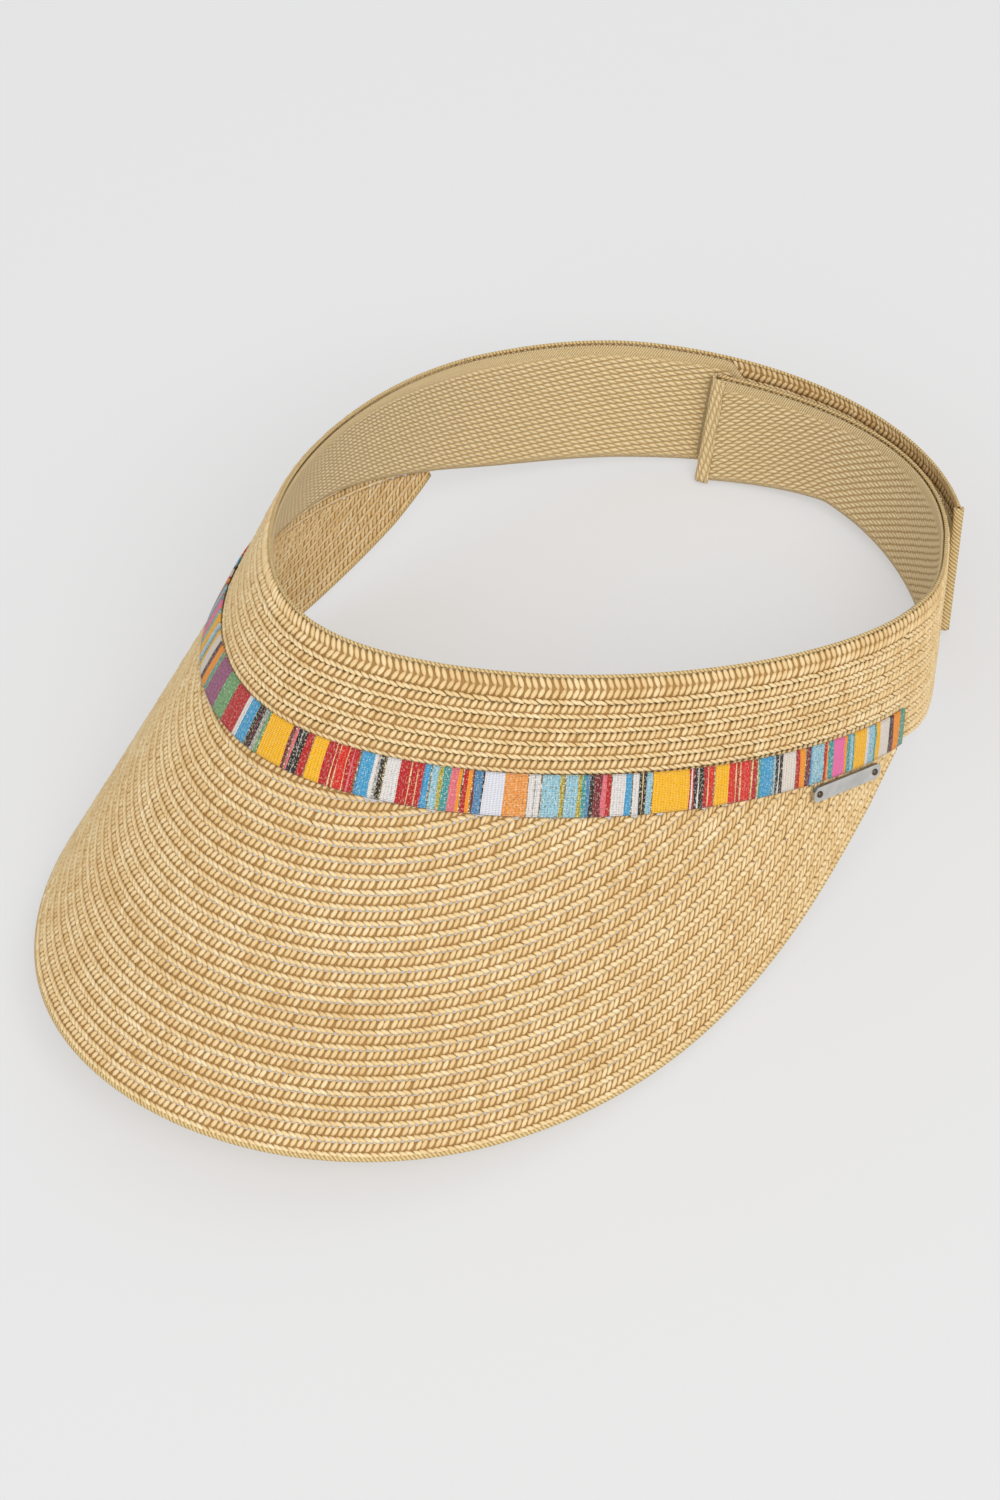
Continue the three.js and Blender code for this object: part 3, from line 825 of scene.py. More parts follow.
@dataclass(frozen=True)
class Stitch:
    """The strands that repeat along a braid row."""

    strands: tuple[Strand, ...]
    pitch: float = 1.72
    row_width: float = 3.6

    def mesh(self) -> bpy.types.Mesh:
        """One stitch as a flat mesh, its second coordinate a share of the row's width."""
        bm = bmesh.new()
        for name in ("tone", "lift", "along", "across"):
            bm.verts.layers.float.new(name)
        for strand in self.strands:
            strand.add(bm, self.row_width)
        bmesh.ops.recalc_face_normals(bm, faces=bm.faces)
        bmesh.ops.scale(bm, vec=(1, 1 / self.row_width, 1), verts=bm.verts)
        return baked(bm, "stitch")


# In each stitch the last strand, the long low one, is the proud ridge; its extra tone of 0.1 is a painted
# highlight.
ROW_STITCH = Stitch((
    Strand((-0.62, 0.4, 0.0), (0.6, 1.03, 0.02), 1.28, 1.2),
    Strand((-1.25, 0.33, 0.02), (1.2, 0.05, 0.2), 0.98, 1.15, 0.1),
))
TOP_STITCH = Stitch((
    Strand((-0.72, 0.22, 0.04), (0.62, 0.59, 0.0), 1.3, 1.2),
    Strand((0.62, 0.56, 0.02), (-0.75, 1.0, -0.1), 1.28, 1.15),
    Strand((-1.25, 0.18, 0.02), (1.2, 0.03, 0.2), 0.98, 1.15, 0.1),
), row_width=6.6)


class BraidMaker:
    """Makes rows of braid: a stitch repeated on the flat, given its variation, then wrapped."""

    core_width: float = 0.84
    core_rise: float = 0.05
    core_thick: float = 0.1
    strays: tuple[float, float, float] = (0.09, 0.012, 0.05)
    stitch_tones: float = 0.11
    row_tones: float = 0.05

    def __init__(self, seed: int = 11) -> None:
        """Starts the random numbers."""
        self.random = np.random.default_rng(seed)
        self.stitches: dict[Stitch, bpy.types.Mesh] = {}

    def flat_row(self, stitch: Stitch, count: int) -> bpy.types.Mesh:
        """Repeats a stitch along a row with an array modifier.

        Args:
            stitch: the stitch to repeat.
            count: how many times.

        Returns:
            A mesh with the stitches and the row's thin core, which closes the gaps between strands and is
            painted as shade.
        """
        if stitch not in self.stitches:
            self.stitches[stitch] = stitch.mesh()
        row = repeated(self.stitches[stitch], [(count, (stitch.pitch, 0, 0))])
        bm = bmesh.new()
        bm.from_mesh(row)
        length = stitch.pitch * count
        add_slab(bm, (count, 2), (length, self.core_width),
                 ((length - stitch.pitch) / 2, 0.5, self.core_rise), self.core_thick)
        bm.to_mesh(row)
        bm.free()
        return row

    def row(self, path: BandPath, stitch: Stitch, tone: float = 0.5) -> bpy.types.Mesh:
        """Makes one wrapped row.

        Args:
            path: where the row runs.
            stitch: its stitch.
            tone: how light its straw is on the whole, 0 to 1.

        Returns:
            The row's mesh in the row frame.
        """
        count = max(2, round(path.length / stitch.pitch))
        row = self.flat_row(stitch, count)
        strands = len(self.stitches[stitch].vertices) * count
        flat = points_of(row)
        which = np.minimum(np.arange(strands) // (strands // count), count - 1)
        pick = lambda spread: self.random.normal(0, spread, count)[which]
        flat[:, 0] = (flat[:, 0] + stitch.pitch / 2) * path.length / (stitch.pitch * count)
        for axis, stray in enumerate(self.strays):
            flat[:strands, axis] += pick(stray)
        row.vertices.foreach_set("co", flat.ravel())
        shade = values_of(row, "tone")
        knots = np.linspace(0, path.length, 9)
        waves = np.interp(flat[:, 0], knots, self.random.normal(0, self.row_tones, len(knots)))
        shade[:] += tone + waves
        shade[:strands] += pick(self.stitch_tones)
        shade[strands:] = 0.0
        store(row, "tone", np.clip(shade, 0, 1))
        # The core gets lift -1, which the straw shader paints wholly in the dark crevice colour: painted
        # shade between the strands.
        lift = values_of(row, "lift")
        lift[strands:] = -1.0
        store(row, "lift", np.abs(lift) * np.where(np.arange(len(lift)) < strands, 1, -1))
        wrap(row, path)
        return row

    def joined(self, name: str, rows: Sequence[bpy.types.Mesh]) -> bpy.types.Object:
        """Joins wrapped rows into one piece."""
        bm = bmesh.new()
        for row in rows:
            bm.from_mesh(row)
        return new_object(name, baked(bm, name))


@dataclass
class WallRows:
    """How the braid rows share the band's height: the top one is twice as wide."""

    count: int = 9
    top_share: float = 2.0
    gap: float = 0.1

    def stitch(self, index: int) -> Stitch:
        """The stitch of one row, counted from the top edge."""
        return TOP_STITCH if index == 0 else ROW_STITCH

    def path(self, index: int, start: float, end: float, out: Callable[[Array], Array] = steady(0.0),
             drop: Callable[[Array], Array] = steady(0.0)) -> BandPath:
        """The strip of one row, counted from the top edge.

        Args:
            index: which row, from 0.
            start: the angle where it starts.
            end: the angle where it ends.
            out: how far the band stands out at each angle.
            drop: how much lower the band sits at each angle.

        Returns:
            The row's strip.
        """
        units = self.count - 1 + self.top_share
        first = 0.0 if index == 0 else index - 1 + self.top_share
        last = first + (self.top_share if index == 0 else 1.0)
        full = lambda a: SHAPE.top(a) - SHAPE.bottom(a)
        high = lambda a: SHAPE.top(a) - drop(a) - full(a) * first / units - self.gap / 2
        low = lambda a: SHAPE.top(a) - drop(a) - full(a) * last / units + self.gap / 2
        return BandPath(start, end, low, high, out)


# ------------------------------------------------------------------ cloth strips and cords
@dataclass
class ClothMaker:
    """Makes flat woven strips with their own map, and rolled edge cords; sizes are millimetres."""

    step: float = 1.6
    rows: int = 16
    rim: float = 0.08
    selvedge: float = 2.6
    hem: float = 1.3
    selvedge_swell: float = 0.22
    hem_swell: float = 0.18

    def strip(self, name: str, path: BandPath) -> bpy.types.Object:
        """Makes a tape with a raised selvedge and hem.

        Args:
            name: the piece's name.
            path: where it runs; its distance out is the tape's middle.

        Returns:
            The tape, with a live Solidify modifier.
        """
        columns = max(4, round(path.length / self.step))
        rim = self.rim / path.length
        shares = np.concatenate([[0, rim], np.linspace(0, 1, columns + 1)[1:-1], [1 - rim, 1]])
        bm = bmesh.new()
        bmesh.ops.create_grid(bm, x_segments=len(shares) - 1, y_segments=self.rows, size=0.5)
        bmesh.ops.translate(bm, vec=(0.5, 0.5, 0), verts=bm.verts)
        for v in bm.verts:
            v.co.x = float(shares[round(v.co.x * (len(shares) - 1))])
        turns = np.linspace(-LAST_ANGLE, LAST_ANGLE, 2 * LAST_ANGLE + 1)
        runs = SHAPE.band_run(turns)

        def plan(co: Vector) -> tuple[float, float]:
            """Runs on from tape to tape, so that the weave meets at the joins."""
            angle = np.interp(co.x * path.length, path.run, path.angles)
            return float(np.interp(angle, turns, runs)), co.y * path.width_at(angle)

        map_cloth(bm, plan)
        selvedge = bm.verts.layers.float.new("selvedge")
        hem = bm.verts.layers.float.new("hem")
        for v in bm.verts:
            below, above = (1 - v.co.y) * path.width, v.co.y * path.width
            v[selvedge] = 1.0 if below < self.selvedge else 0.0
            v[hem] = 1.0 if above < self.hem else 0.0
            ridge = math.sin(math.pi * min(1, below / self.selvedge)) * self.selvedge_swell
            roll = math.sin(math.pi * min(1, above / self.hem)) * self.hem_swell
            v.co = Vector((v.co.x * path.length, v.co.y, -(ridge + roll)))
        mesh = baked(bm, name)
        wrap(mesh, path)
        piece = new_object(name, mesh)
        thicken(piece, TAPE_THICK)
        return piece

    def cord(self, name: str, path: BandPath, radius: float, share: float = 1.0) -> bpy.types.Object:
        """Makes a round edge cord along a strip.

        Args:
            name: the piece's name.
            path: the strip whose edge it follows.
            radius: the cord's radius in millimetres.
            share: where it lies across the strip, 0 to 1.

        Returns:
            The cord as a closed tube.
        """
        segments = max(8, round(path.length / 2.0))
        bm = bmesh.new()
        add_tube(bm, 8, (radius, radius), segments - 1)
        map_cloth(bm, lambda co: ((co.z + 0.5) * path.length, co.y))
        for v in bm.verts:
            v.co = Vector(((v.co.z + 0.5) * path.length, share + v.co.y / path.width, v.co.x))
        bmesh.ops.recalc_face_normals(bm, faces=bm.faces)
        mesh = baked(bm, name)
        wrap(mesh, path)
        return new_object(name, mesh)

    def top_cord(self, name: str, start: float, end: float, top: Callable[[Array], Array],
                 out: Callable[[Array], Array]) -> bpy.types.Object:
        """Makes the cord along a band's top edge.

        Args:
            name: the piece's name.
            start: the angle where it starts.
            end: the angle where it ends.
            top: the height of the straw's edge at each angle.
            out: how far the band stands out at each angle.

        Returns:
            The cord.
        """
        edge = BandPath(start, end, lambda a: top(a) - CORD_STRIP, lambda a: top(a) + CORD_RISE,
                        lambda a: out(a) - CORD_RADIUS)
        return self.cord(name, edge, CORD_RADIUS)


# ------------------------------------------------------------------ finishes in use
@dataclass
class Finishes:
    """Every material, made once."""

    straw: bpy.types.Material = field(default_factory=StrawFinish().make)
    twill: bpy.types.Material = field(default_factory=TwillFinish().make)
    steep_twill: bpy.types.Material = field(
        default_factory=TwillFinish("twill_tape_steep", slant=-34.0).make)
    ribbon: bpy.types.Material = field(default_factory=RibbonFinish().make)
    cord: bpy.types.Material = field(default_factory=CordFinish().make)
    steel: bpy.types.Material = field(
        default_factory=SteelFinish("polished_steel", "DDDCD8", 0.3).make)
    stud: bpy.types.Material = field(
        default_factory=SteelFinish("dark_stud_metal", "6A5A4A", 0.45).make)
    hooks: bpy.types.Material = field(
        default_factory=PileFinish("hook_tape_plastic", "A89468", "D9C89C", 0.5).make)
    loops: bpy.types.Material = field(
        default_factory=PileFinish("loop_tape_pile", "B09A6E", "E0D0A8", 0.95).make)
    floor: bpy.types.Material = field(default_factory=FloorFinish().make)


def settle(piece: bpy.types.Object, material: bpy.types.Material, bodies: Sequence[str],
           nodes: Sequence[str] = (), span: Optional[tuple] = None) -> None:
    """Dresses a piece, and says what it stands for and moves with.

    Args:
        piece: the finished piece.
        material: its material.
        bodies: the body it rides on, or the two it bends between.
        nodes: the CAD nodes it stands for.
        span: where bending starts and ends, two points in the row frame.
    """
    piece.data.materials.clear()
    piece.data.materials.append(material)
    if len(bodies) == 2:
        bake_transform(piece, *bodies, start=span[0], end=span[1])
    else:
        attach(piece, bodies[0])
    if nodes:
        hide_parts(*nodes)
    LOG.info("%s: %d faces", piece.name, len(piece.data.polygons))


# ------------------------------------------------------------------ sub-assemblies
@dataclass
class Brim:
    """The brim's braid rows, parallel to its edge and cut off at the seam."""

    rows: int = 24
    gap: float = 0.06
    narrowest: float = 1.3
    tone: float = 0.5
    tone_swing: float = 0.03
    tone_turn: float = 1.9
    edge_cord: float = 0.85
    cord_end: float = 96.4
    overhang: float = 0.2

    def build(self, braid: BraidMaker, cloth: ClothMaker, looks: Finishes) -> None:
        """Builds and dresses the rows and the edge cord."""
        angles, lines = SHAPE.brim_lines(self.rows)
        for row in range(self.rows):
            outer = lambda a, line=lines[row]: np.interp(a, angles, line) - self.gap / 2
            inner = lambda a, line=lines[row + 1]: np.interp(a, angles, line) + self.gap / 2
            reach = float(angles[np.nonzero(outer(angles) > self.narrowest)[0][-1]])
            path = BandPath(-reach, reach, lambda a, f=outer: -f(a), lambda a, f=inner: -f(a), brim=True)
            tone = self.tone + self.tone_swing * math.sin(row * self.tone_turn)
            mesh = braid.row(path, ROW_STITCH, tone)
            piece = new_object(f"brim_straw_row_{row + 1:02d}", mesh)
            settle(piece, looks.straw, ["visor_front"], [f"brim_braid_row_{row + 1:02d}"])
        edge = lambda a: -SHAPE.brim_edge(a) - self.overhang
        rim = BandPath(-self.cord_end, self.cord_end, edge, lambda a: edge(a) + CORD_STRIP, brim=True)
        piece = cloth.cord("brim_edge_cord", rim, self.edge_cord, 0.0)
        settle(piece, looks.cord, ["visor_front"])


@dataclass
class Crown:
    """The front of the band: braid rows, the top edge cord and the sweatband inside."""

    end: float = 98.15
    rows: WallRows = field(default_factory=WallRows)
    tone: float = 0.54
    tape_width: float = 26.0
    widens: float = 62.0

    def tape_edge(self, angle: Array) -> Array:
        """Height of the sweatband's lower edge, which runs out to the strap's at the temples."""
        share = ease((np.abs(angle) - self.widens) / (self.end - self.widens))
        front = SHAPE.top(angle) - TAPE_MARGIN - self.tape_width
        return front * (1 - share) + (SHAPE.bottom(angle) + TAPE_MARGIN) * share

    def build(self, braid: BraidMaker, cloth: ClothMaker, looks: Finishes) -> None:
        """Builds and dresses the rows, cord and sweatband."""
        for index in range(self.rows.count):
            path = self.rows.path(index, -self.end, self.end)
            mesh = braid.row(path, self.rows.stitch(index), self.tone)
            piece = new_object(f"crown_straw_row_{index + 1:02d}", mesh)
            settle(piece, looks.straw, ["visor_front"], [f"crown_braid_row_{index + 1:02d}"])
        cord = cloth.top_cord("crown_edge_cord", -self.end, self.end, SHAPE.top, steady(0.0))
        settle(cord, looks.cord, ["visor_front"])
        band = BandPath(-self.end, self.end, self.tape_edge, lambda a: SHAPE.top(a) - TAPE_MARGIN,
                        steady(TAPE_OUT))
        piece = cloth.strip("sweatband_tape", band)
        settle(piece, looks.twill, ["visor_front"], ["front_sweatband"])
        band.mean_width * MM


class Dye(Enum):
    """Thread colours of the ribbon, each with its share of metallic threads."""

    GOLD = ("FDBB0A", 0.15)
    AMBER = ("F8981A", 0.1)
    RED = ("BE1218", 0.25)
    SCARLET = ("DC2412", 0.2)
    WINE = ("7A1A28", 0.3)
    BLACK = ("1E1916", 0.5)
    WHITE = ("E4DEDA", 0.25)
    MILK = ("DFDFE6", 0.0)
    CREAM = ("E6D9CC", 0.1)
    SKY = ("3FA0CE", 0.3)
    PALE = ("95C6D6", 0.5)
    STEEL = ("4C84AE", 0.3)
    TEAL = ("3F9C9C", 0.5)
    GREEN = ("6FA56A", 0.4)
    OLIVE = ("B9A834", 0.6)
    PINK = ("E4707A", 0.2)
    ROSE = ("EE6FA6", 0.0)
    PLUM = ("9A5078", 0.2)
    PEACH = ("EE9A48", 0.35)
    GREY = ("A9A6A2", 0.8)
    THREAD = ("EDCB8A", 0.6)
    DASH = ("8A744C", 1.0)


@dataclass
class Ribbon:
    """The striped ribbon on the seam; its stripes are the thread's name and millimetres."""

    end: float = 96.6
    width: float = 10.2
    low: float = -0.1
    out: float = 1.45
    thick: float = 0.5
    dash: float = 0.34
    column: float = 1.4
    stray: float = 0.09
    rows: int = 10
    front: str = (
        "plum 7.5 green 6 red 6.2 white 1.4 sky 3.6 black 1.2 wine .4 black .6 grey 1.2 green 1.2 "
        "gold 7.4 wine 1.2 pink .8 black 1.1 white .3 black 1.1 red 2.3 gold 3.8 red 2.2 thread .3 "
        "red .8 thread .3 scarlet 2 thread .3 red 1 pink .3 red 1.6 steel .5 sky 3 white 1 grey .6 "
        "black 1.5 white 3.6 red 2.6 thread .3 red 1.4 thread .3 red 1.2 steel .4 sky 1.6 pale 1.8 "
        "olive 1 teal 1.9 pink 2 amber 1.2 red 1.2 amber 1.2 wine .4 steel 2 black .3 milk 5.2 "
        "peach 6 white 1.4 grey .3 white 1.6 pale 4.6 olive 1.4 pale 3.2 olive 1 teal 1 steel 1 "
        "black 1 wine 2.2 pink 1.2 red 1.5 white 3.6 sky 2 white 1.6 black .8 thread .3 black .9 "
        "pale 1.8 gold 10 red .5 white .4 red .5 black 1 white .3 black 1.4 red 1.1 thread .3 "
        "scarlet 1.9 gold 4 scarlet 2 thread .3 red 1 thread .3 scarlet 1.1 pink .3 scarlet 1.8 "
        "thread .3 red 1.6 thread .3 teal .7 sky 3.9 pale .6 black .9 white .3 black 1.2 cream 4.4 "
        "red 1.2 amber 2 wine 1.5 sky .6 pale 4.2 red .7 amber .6 teal 1.9 rose 3.9 amber .9 "
        "teal 1.4 pale .9 teal .7 gold 4.6 white 1 pale 2.3 teal .8 gold 1.7 cream 4 black 1 "
        "wine 1.1 amber 3.2 teal 1.2 green 1"
    )

    def stripes(self, length: float) -> list[tuple[Dye, float]]:
        """The stripes from one end of the ribbon to the other.

        Args:
            length: the ribbon's length in millimetres.

        Returns:
            Each stripe's colour and width; the weave repeats itself towards the far side.
        """
        words = self.front.split()
        repeat = [(Dye[n.upper()], float(w)) for n, w in zip(words[::2], words[1::2])]
        spare = length - sum(w for _, w in repeat)
        before: list[tuple[Dye, float]] = []
        for colour, width in reversed(repeat):
            if spare <= 0:
                break
            before.append((colour, min(width, spare)))
            spare -= width
        woven: list[tuple[Dye, float]] = []
        for place, (colour, width) in enumerate(before[::-1] + repeat):
            dashed = place % 5 in (0, 2) and width > 1.1 and colour not in (Dye.MILK, Dye.ROSE)
            woven.append((colour, width - self.dash if dashed else width))
            if dashed:
                woven.append((Dye.DASH, self.dash))
        return woven

    def build(self, looks: Finishes) -> None:
        """Builds and dresses the ribbon, with columns that follow its stripes."""
        path = BandPath(-self.end, self.end, steady(self.low), steady(self.low + self.width),
                        steady(self.out))
        stripes = self.stripes(path.length)
        edges, dyes = [0.0], []
        for dye, width in stripes:
            parts = max(1, math.ceil(width / self.column))
            for _ in range(parts):
                edges.append(edges[-1] + width / parts)
                dyes.append(dye)
        bm = bmesh.new()
        bmesh.ops.create_grid(bm, x_segments=len(dyes), y_segments=self.rows, size=0.5)
        wander = np.random.default_rng(5).normal(0, self.stray, (len(edges), 4))
        ends = np.array(edges) * path.length / edges[-1]
        line = lambda co: round((co.x + 0.5) * len(dyes))
        map_cloth(bm, lambda co: (ends[line(co)], (co.y + 0.5) * self.width))
        colour = bm.loops.layers.float_color.new("Dye")
        for face in bm.faces:
            column = int((face.calc_center_median().x + 0.5) * len(dyes))
            dye = dyes[min(column, len(dyes) - 1)]
            for loop in face.loops:
                loop[colour] = (*tint(dye.value[0]), dye.value[1])
        for v in bm.verts:
            at = line(v.co)
            inside = 0 < at < len(dyes)
            swing = float(np.interp(v.co.y + 0.5, [0, 0.33, 0.67, 1], wander[at])) if inside else 0.0
            puff = 0.14 * math.sin(math.pi * (v.co.y + 0.5)) - 0.1
            v.co = Vector((ends[at] + swing, v.co.y + 0.5, puff))
        mesh = baked(bm, "ribbon")
        wrap(mesh, path)
        piece = new_object("seam_ribbon", mesh)
        thicken(piece, self.thick)
        settle(piece, looks.ribbon, ["visor_front"], ["striped_ribbon"])
        self.width * MM


@dataclass
class Strap:
    """One strap, or part of one: braid outside, tape inside, and an edge cord on top."""

    name: str
    start: float
    end: float
    bodies: tuple[str, str]
    bend_from: float
    bend_to: float
    out: Callable[[Array], Array]
    drop: Callable[[Array], Array]
    straw_node: str
    tape_node: str
    bared: float = 0.0
    steep: bool = False
    tone: float = 0.48
    bare_past: float = 1.0
    bare_turn: float = 5.0

    def tape_top(self, angle: Array) -> Array:
        """Height of the tape's upper edge, which bares the straw past the inner strap's end."""
        bare_from = 360 - SHAPE.inner_end + self.bare_past
        share = ease((np.abs(angle) - bare_from) / self.bare_turn)
        return SHAPE.top(angle) - self.drop(angle) - TAPE_MARGIN - self.bared * share

    @property
    def span(self) -> tuple[tuple[float, float, float], tuple[float, float, float]]:
        """Where the strap bends, in the row frame."""
        return table_point(self.bend_from, STRAP_MIDDLE), table_point(self.bend_to, STRAP_MIDDLE)

    def build(self, braid: BraidMaker, cloth: ClothMaker, looks: Finishes) -> None:
        """Builds and dresses the braid, the edge cord and the tape."""
        rows = WallRows()
        meshes = [braid.row(rows.path(i, self.start, self.end, self.out, self.drop), rows.stitch(i),
                            self.tone) for i in range(rows.count)]
        straw = braid.joined(f"{self.name}_straw", meshes)
        settle(straw, looks.straw, self.bodies, [self.straw_node], self.span)
        top = lambda a: SHAPE.top(a) - self.drop(a)
        cord = cloth.top_cord(f"{self.name}_edge_cord", self.start, self.end, top, self.out)
        settle(cord, looks.cord, self.bodies, (), self.span)
        band = BandPath(self.start, self.end, lambda a: SHAPE.bottom(a) - self.drop(a) + TAPE_MARGIN,
                        self.tape_top, lambda a: self.out(a) + TAPE_OUT)
        tape = cloth.strip(f"{self.name}_twill", band)
        weave = looks.steep_twill if self.steep else looks.twill
        settle(tape, weave, self.bodies, [self.tape_node], self.span)
        band.mean_width * MM


@dataclass
class EndHem:
    """The folded binding round a strap's end, stitched through."""

    name: str
    end: float
    side: int
    bodies: Sequence[str]
    out: float
    drop: float
    node: str
    reach: float = 3.0
    inside: float = -2.25
    outside: float = 1.25
    thick: float = 0.5
    fold: float = 0.55
    stitched: float = 0.12
    overlap: float = 0.4

    def build(self, material: bpy.types.Material) -> None:
        """Builds and dresses the binding as a folded strip."""
        at = np.array([self.end])
        low, high = float(SHAPE.bottom(at)[0]) - self.drop, float(SHAPE.top(at)[0]) - self.drop
        bm = bmesh.new()
        bmesh.ops.create_grid(bm, x_segments=18, y_segments=24, size=0.5)
        half, middle = (self.outside - self.inside) / 2, (self.outside + self.inside) / 2
        whole = 2 * self.reach + math.pi * half
        map_cloth(bm, lambda co: ((co.y + 0.5) * (high - low), (co.x + 0.5) * whole))
        hem = bm.verts.layers.float.new("hem")
        flat = []
        for v in bm.verts:
            v[hem] = 0.3
            run = (v.co.x + 0.5) * whole
            if run < self.reach:
                u, w = run - self.reach, -half
            elif run > whole - self.reach:
                u, w = whole - self.reach - run, half
            else:
                turn = (run - self.reach) / half
                u, w = math.sin(turn) * half * self.fold, -math.cos(turn) * half
            pinch = 1 - self.stitched * math.exp(-((u + self.reach * 0.75) / 0.5) ** 2)
            flat.append((u, low + (high - low) * (v.co.y + 0.5), self.out + middle + w * pinch))
        points = np.array(flat)
        angle = self.end + self.side * np.degrees((points[:, 0] + self.overlap) / SHAPE.ring_radius)
        placed = SHAPE.on_table(SHAPE.on_wall(angle, points[:, 1], points[:, 2]))
        for v, place in zip(bm.verts, placed):
            v.co = Vector(place)
        if self.side < 0:
            bmesh.ops.reverse_faces(bm, faces=bm.faces)
        piece = new_object(self.name, baked(bm, self.name))
        thicken(piece, self.thick)
        settle(piece, material, self.bodies, [self.node])


@dataclass
class Pile:
    """Hook or loop tape: a woven ground with rows of small plastic hooks or soft loops."""

    name: str
    node: str
    bodies: Sequence[str]
    path: BandPath
    facing: int
    looped: bool
    pitch: float = 1.5
    foot: float = 0.11
    tip: float = 0.09
    bend: float = 0.34
    tall: float = 1.25
    stray: float = 0.12
    ground: float = 0.3

    def element(self) -> bpy.types.Mesh:
        """One hook or loop as a bent tapered tube."""
        bm = bmesh.new()
        lift = bm.verts.layers.float.new("lift")
        add_tube(bm, 5, (self.foot, self.tip), 4)
        reach = math.pi if self.looped else math.pi * 0.75
        for v in bm.verts:
            turn = (v.co.z + 0.5) * reach
            radius = self.bend + v.co.x
            v[lift] = math.sin(turn)
            v.co = Vector((self.bend - math.cos(turn) * radius, v.co.y, math.sin(turn) * radius * self.tall))
        bmesh.ops.recalc_face_normals(bm, faces=bm.faces)
        return baked(bm, "element")

    def build(self, looks: Finishes) -> None:
        """Builds and dresses the tape."""
        width = self.path.width
        columns, rows = int(self.path.length / self.pitch), int(width / self.pitch)
        mesh = repeated(self.element(), [(columns, (self.pitch, 0, 0)), (rows, (0, self.pitch, 0))])
        bm = bmesh.new()
        bm.from_mesh(mesh)
        pins = len(bm.verts)
        bmesh.ops.translate(bm, vec=(self.pitch * 0.3, self.pitch * 0.6, 0), verts=bm.verts)
        add_slab(bm, (columns, rows), (self.path.length, width),
                 (self.path.length / 2, width / 2, 0), self.ground)
        bmesh.ops.scale(bm, vec=(1, 1 / width, self.facing), verts=bm.verts)
        if self.facing < 0:
            bmesh.ops.reverse_faces(bm, faces=bm.faces)
        bm.to_mesh(mesh)
        bm.free()
        flat = points_of(mesh)
        each = pins // (columns * rows)
        shake = np.random.default_rng(3).normal(0, self.stray, (columns * rows, 2))
        flat[:pins, 0] += np.repeat(shake[:, 0], each)
        flat[:pins, 1] += np.repeat(shake[:, 1], each) / width
        mesh.vertices.foreach_set("co", flat.ravel())
        wrap(mesh, self.path)
        piece = new_object(self.name, mesh)
        look, slot = (looks.loops, "loop_tape") if self.looped else (looks.hooks, "hook_tape")
        settle(piece, look, self.bodies, [self.node])


@dataclass
class Closure:
    """The two straps at the back, their ends and their hook-and-loop tapes."""

    split: float = 140.0
    strap_turn: float = 10.0
    tail_turn: float = 12.0
    tail_bared: float = 5.4
    inset: float = 3.2
    margin: float = 2.6
    hook_past: float = 0.35
    loop_past: float = 2.0
    hook_top: float = 7.6
    hook_out: float = -2.1
    loop_out: float = 1.1

    def build(self, braid: BraidMaker, cloth: ClothMaker, looks: Finishes) -> None:
        """Builds the outer strap, its tail, the inner strap and the fastening."""
        still = steady(0.0)
        tail_end = SHAPE.tail_start - 360 - SHAPE.tail_length
        start = SHAPE.strap_start
        Strap("outer_strap", -start, -self.split, ("visor_front", "outer_strap"), -start,
              -start - self.strap_turn, SHAPE.outer_lift, still, "outer_strap_braid",
              "outer_strap_tape").build(braid, cloth, looks)
        Strap("outer_tail", -self.split, tail_end, ("outer_strap", "outer_tail"), -self.split,
              -self.split - self.tail_turn, SHAPE.outer_lift, still, "outer_tail_braid", "outer_tail_tape",
              self.tail_bared).build(braid, cloth, looks)
        Strap("inner_strap", start, SHAPE.inner_end, ("visor_front", "inner_strap"), start,
              start + self.strap_turn, SHAPE.inner_sink, SHAPE.inner_lower, "inner_strap_braid",
              "inner_strap_tape", steep=True).build(braid, cloth, looks)
        EndHem("outer_tail_binding", tail_end, -1, ["outer_tail"], SHAPE.strap_lift, 0.0,
               "outer_tail_end_hem", reach=0.8, inside=-1.6, outside=0.7).build(looks.cord)
        EndHem("inner_strap_binding", SHAPE.inner_end, 1, ["inner_strap"], -SHAPE.strap_lift,
               SHAPE.inner_drop, "inner_strap_end_hem").build(looks.twill)
        hooks = BandPath(SHAPE.tail_start - 360 - self.inset - self.hook_past, tail_end + self.inset,
                         lambda a: SHAPE.bottom(a) + self.margin, lambda a: SHAPE.top(a) - self.hook_top,
                         lambda a: SHAPE.outer_lift(a) + self.hook_out)
        Pile("hook_tape_strip", "hook_patch", ["outer_tail"], hooks, -1, False).build(looks)
        lower = SHAPE.inner_lower
        loops = BandPath(SHAPE.tail_start - SHAPE.tail_length - self.loop_past, SHAPE.inner_end - self.inset,
                         lambda a: SHAPE.bottom(a) - lower(a) + self.margin,
                         lambda a: SHAPE.top(a) - lower(a) - self.margin,
                         lambda a: SHAPE.inner_sink(a) + self.loop_out)
        Pile("loop_tape_strip", "loop_patch", ["inner_strap"], loops, 1, True).build(looks)


@dataclass
class Tag:
    """The metal tag and its studs keep their CAD shape and get their metal."""

    plate: str = "tag_plate"
    studs: tuple[str, str] = ("tag_stud_front", "tag_stud_back")

    def build(self, looks: Finishes) -> None:
        """Dresses the plate and the studs."""
        for name in (self.plate, *self.studs):
            node = bpy.data.objects[name]
            look = looks.steel if name == self.plate else looks.stud
            if not node.material_slots:
                node.data.materials.append(look)
            for slot in node.material_slots:
                slot.material = look
            LOG.info("%s: dressed", name)


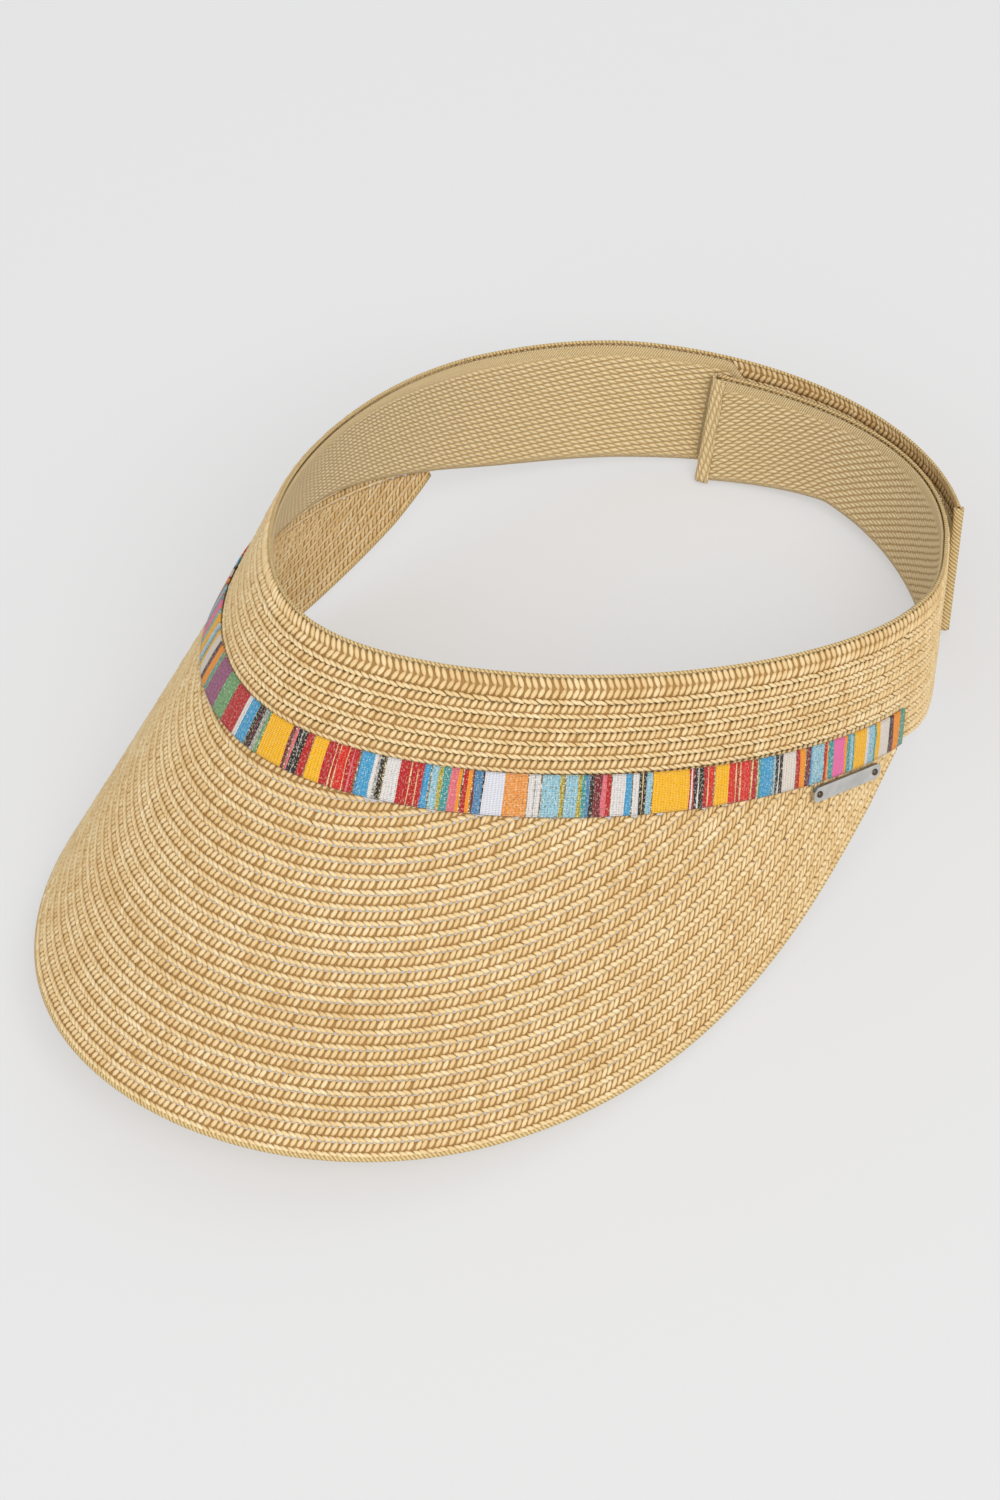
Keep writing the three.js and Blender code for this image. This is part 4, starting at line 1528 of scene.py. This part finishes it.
@dataclass(frozen=True)
class Lamp:
    """A square soft light aimed at the visor, its place and size in metres."""

    name: str
    place: tuple[float, float, float]
    watts: float
    size: float
    aim: tuple[float, float, float] = (0.0, 0.0, 0.04)

    def add(self) -> None:
        """Links the lamp to the scene."""
        data = bpy.data.lights.new(self.name, "AREA")
        data.energy, data.size = self.watts, self.size
        turn = (Vector(self.aim) - Vector(self.place)).to_track_quat("-Z", "Y").to_matrix()
        linked(self.name, data).matrix_world = Matrix.Translation(self.place) @ turn.to_4x4()


@dataclass
class Studio:
    """The camera, a pale floor and soft light."""

    eye: tuple[float, float, float] = (0.52914, -0.38831, 0.75653)
    aim: tuple[float, float, float] = (-0.00889, 0.00349, 0.00838)
    lean: float = 13.3
    lens: float = 88.52
    lamps: tuple[Lamp, ...] = (Lamp("key", (2.5, -0.9, 2.7), 74.0, 1.8),
                               Lamp("fill", (0.6, -3.0, 1.8), 16.0, 2.4))
    sky: float = 0.66
    floor_half: float = 4.0

    def camera(self) -> None:
        """Makes the camera."""
        data = bpy.data.cameras.new("camera")
        data.lens = self.lens
        data.sensor_fit = "AUTO"
        data.sensor_width = 36.0
        data.clip_start, data.clip_end = 0.05, 50.0
        camera = linked("camera", data)
        way = (Vector(self.aim) - Vector(self.eye)).normalized()
        turn = way.to_track_quat("-Z", "Y").to_matrix()
        turn = turn @ Matrix.Rotation(math.radians(-self.lean), 3, "Z")
        camera.matrix_world = Matrix.Translation(self.eye) @ turn.to_4x4()
        bpy.context.scene.camera = camera

    def build(self, looks: Finishes) -> None:
        """Makes the floor and the lights."""
        bm = bmesh.new()
        bmesh.ops.create_grid(bm, x_segments=8, y_segments=8, size=self.floor_half)
        floor = new_object("floor", baked(bm, "floor"))
        floor.data.materials.append(looks.floor)
        for lamp in self.lamps:
            lamp.add()
        world = bpy.data.worlds.new("studio")
        bpy.context.scene.world = world
        world.use_nodes = True
        sky = world.node_tree.nodes["Background"].inputs
        sky[0].default_value, sky[1].default_value = (1, 1, 1, 1), self.sky
        bpy.context.scene.view_settings.view_transform = "Standard"


def main() -> None:
    """Builds the visor and its studio."""
    studio = Studio()
    studio.camera()
    looks, braid, cloth = Finishes(), BraidMaker(), ClothMaker()
    Brim().build(braid, cloth, looks)
    Crown().build(braid, cloth, looks)
    Ribbon().build(looks)
    Closure().build(braid, cloth, looks)
    Tag().build(looks)
    studio.build(looks)


if __name__ == "__main__":
    main()
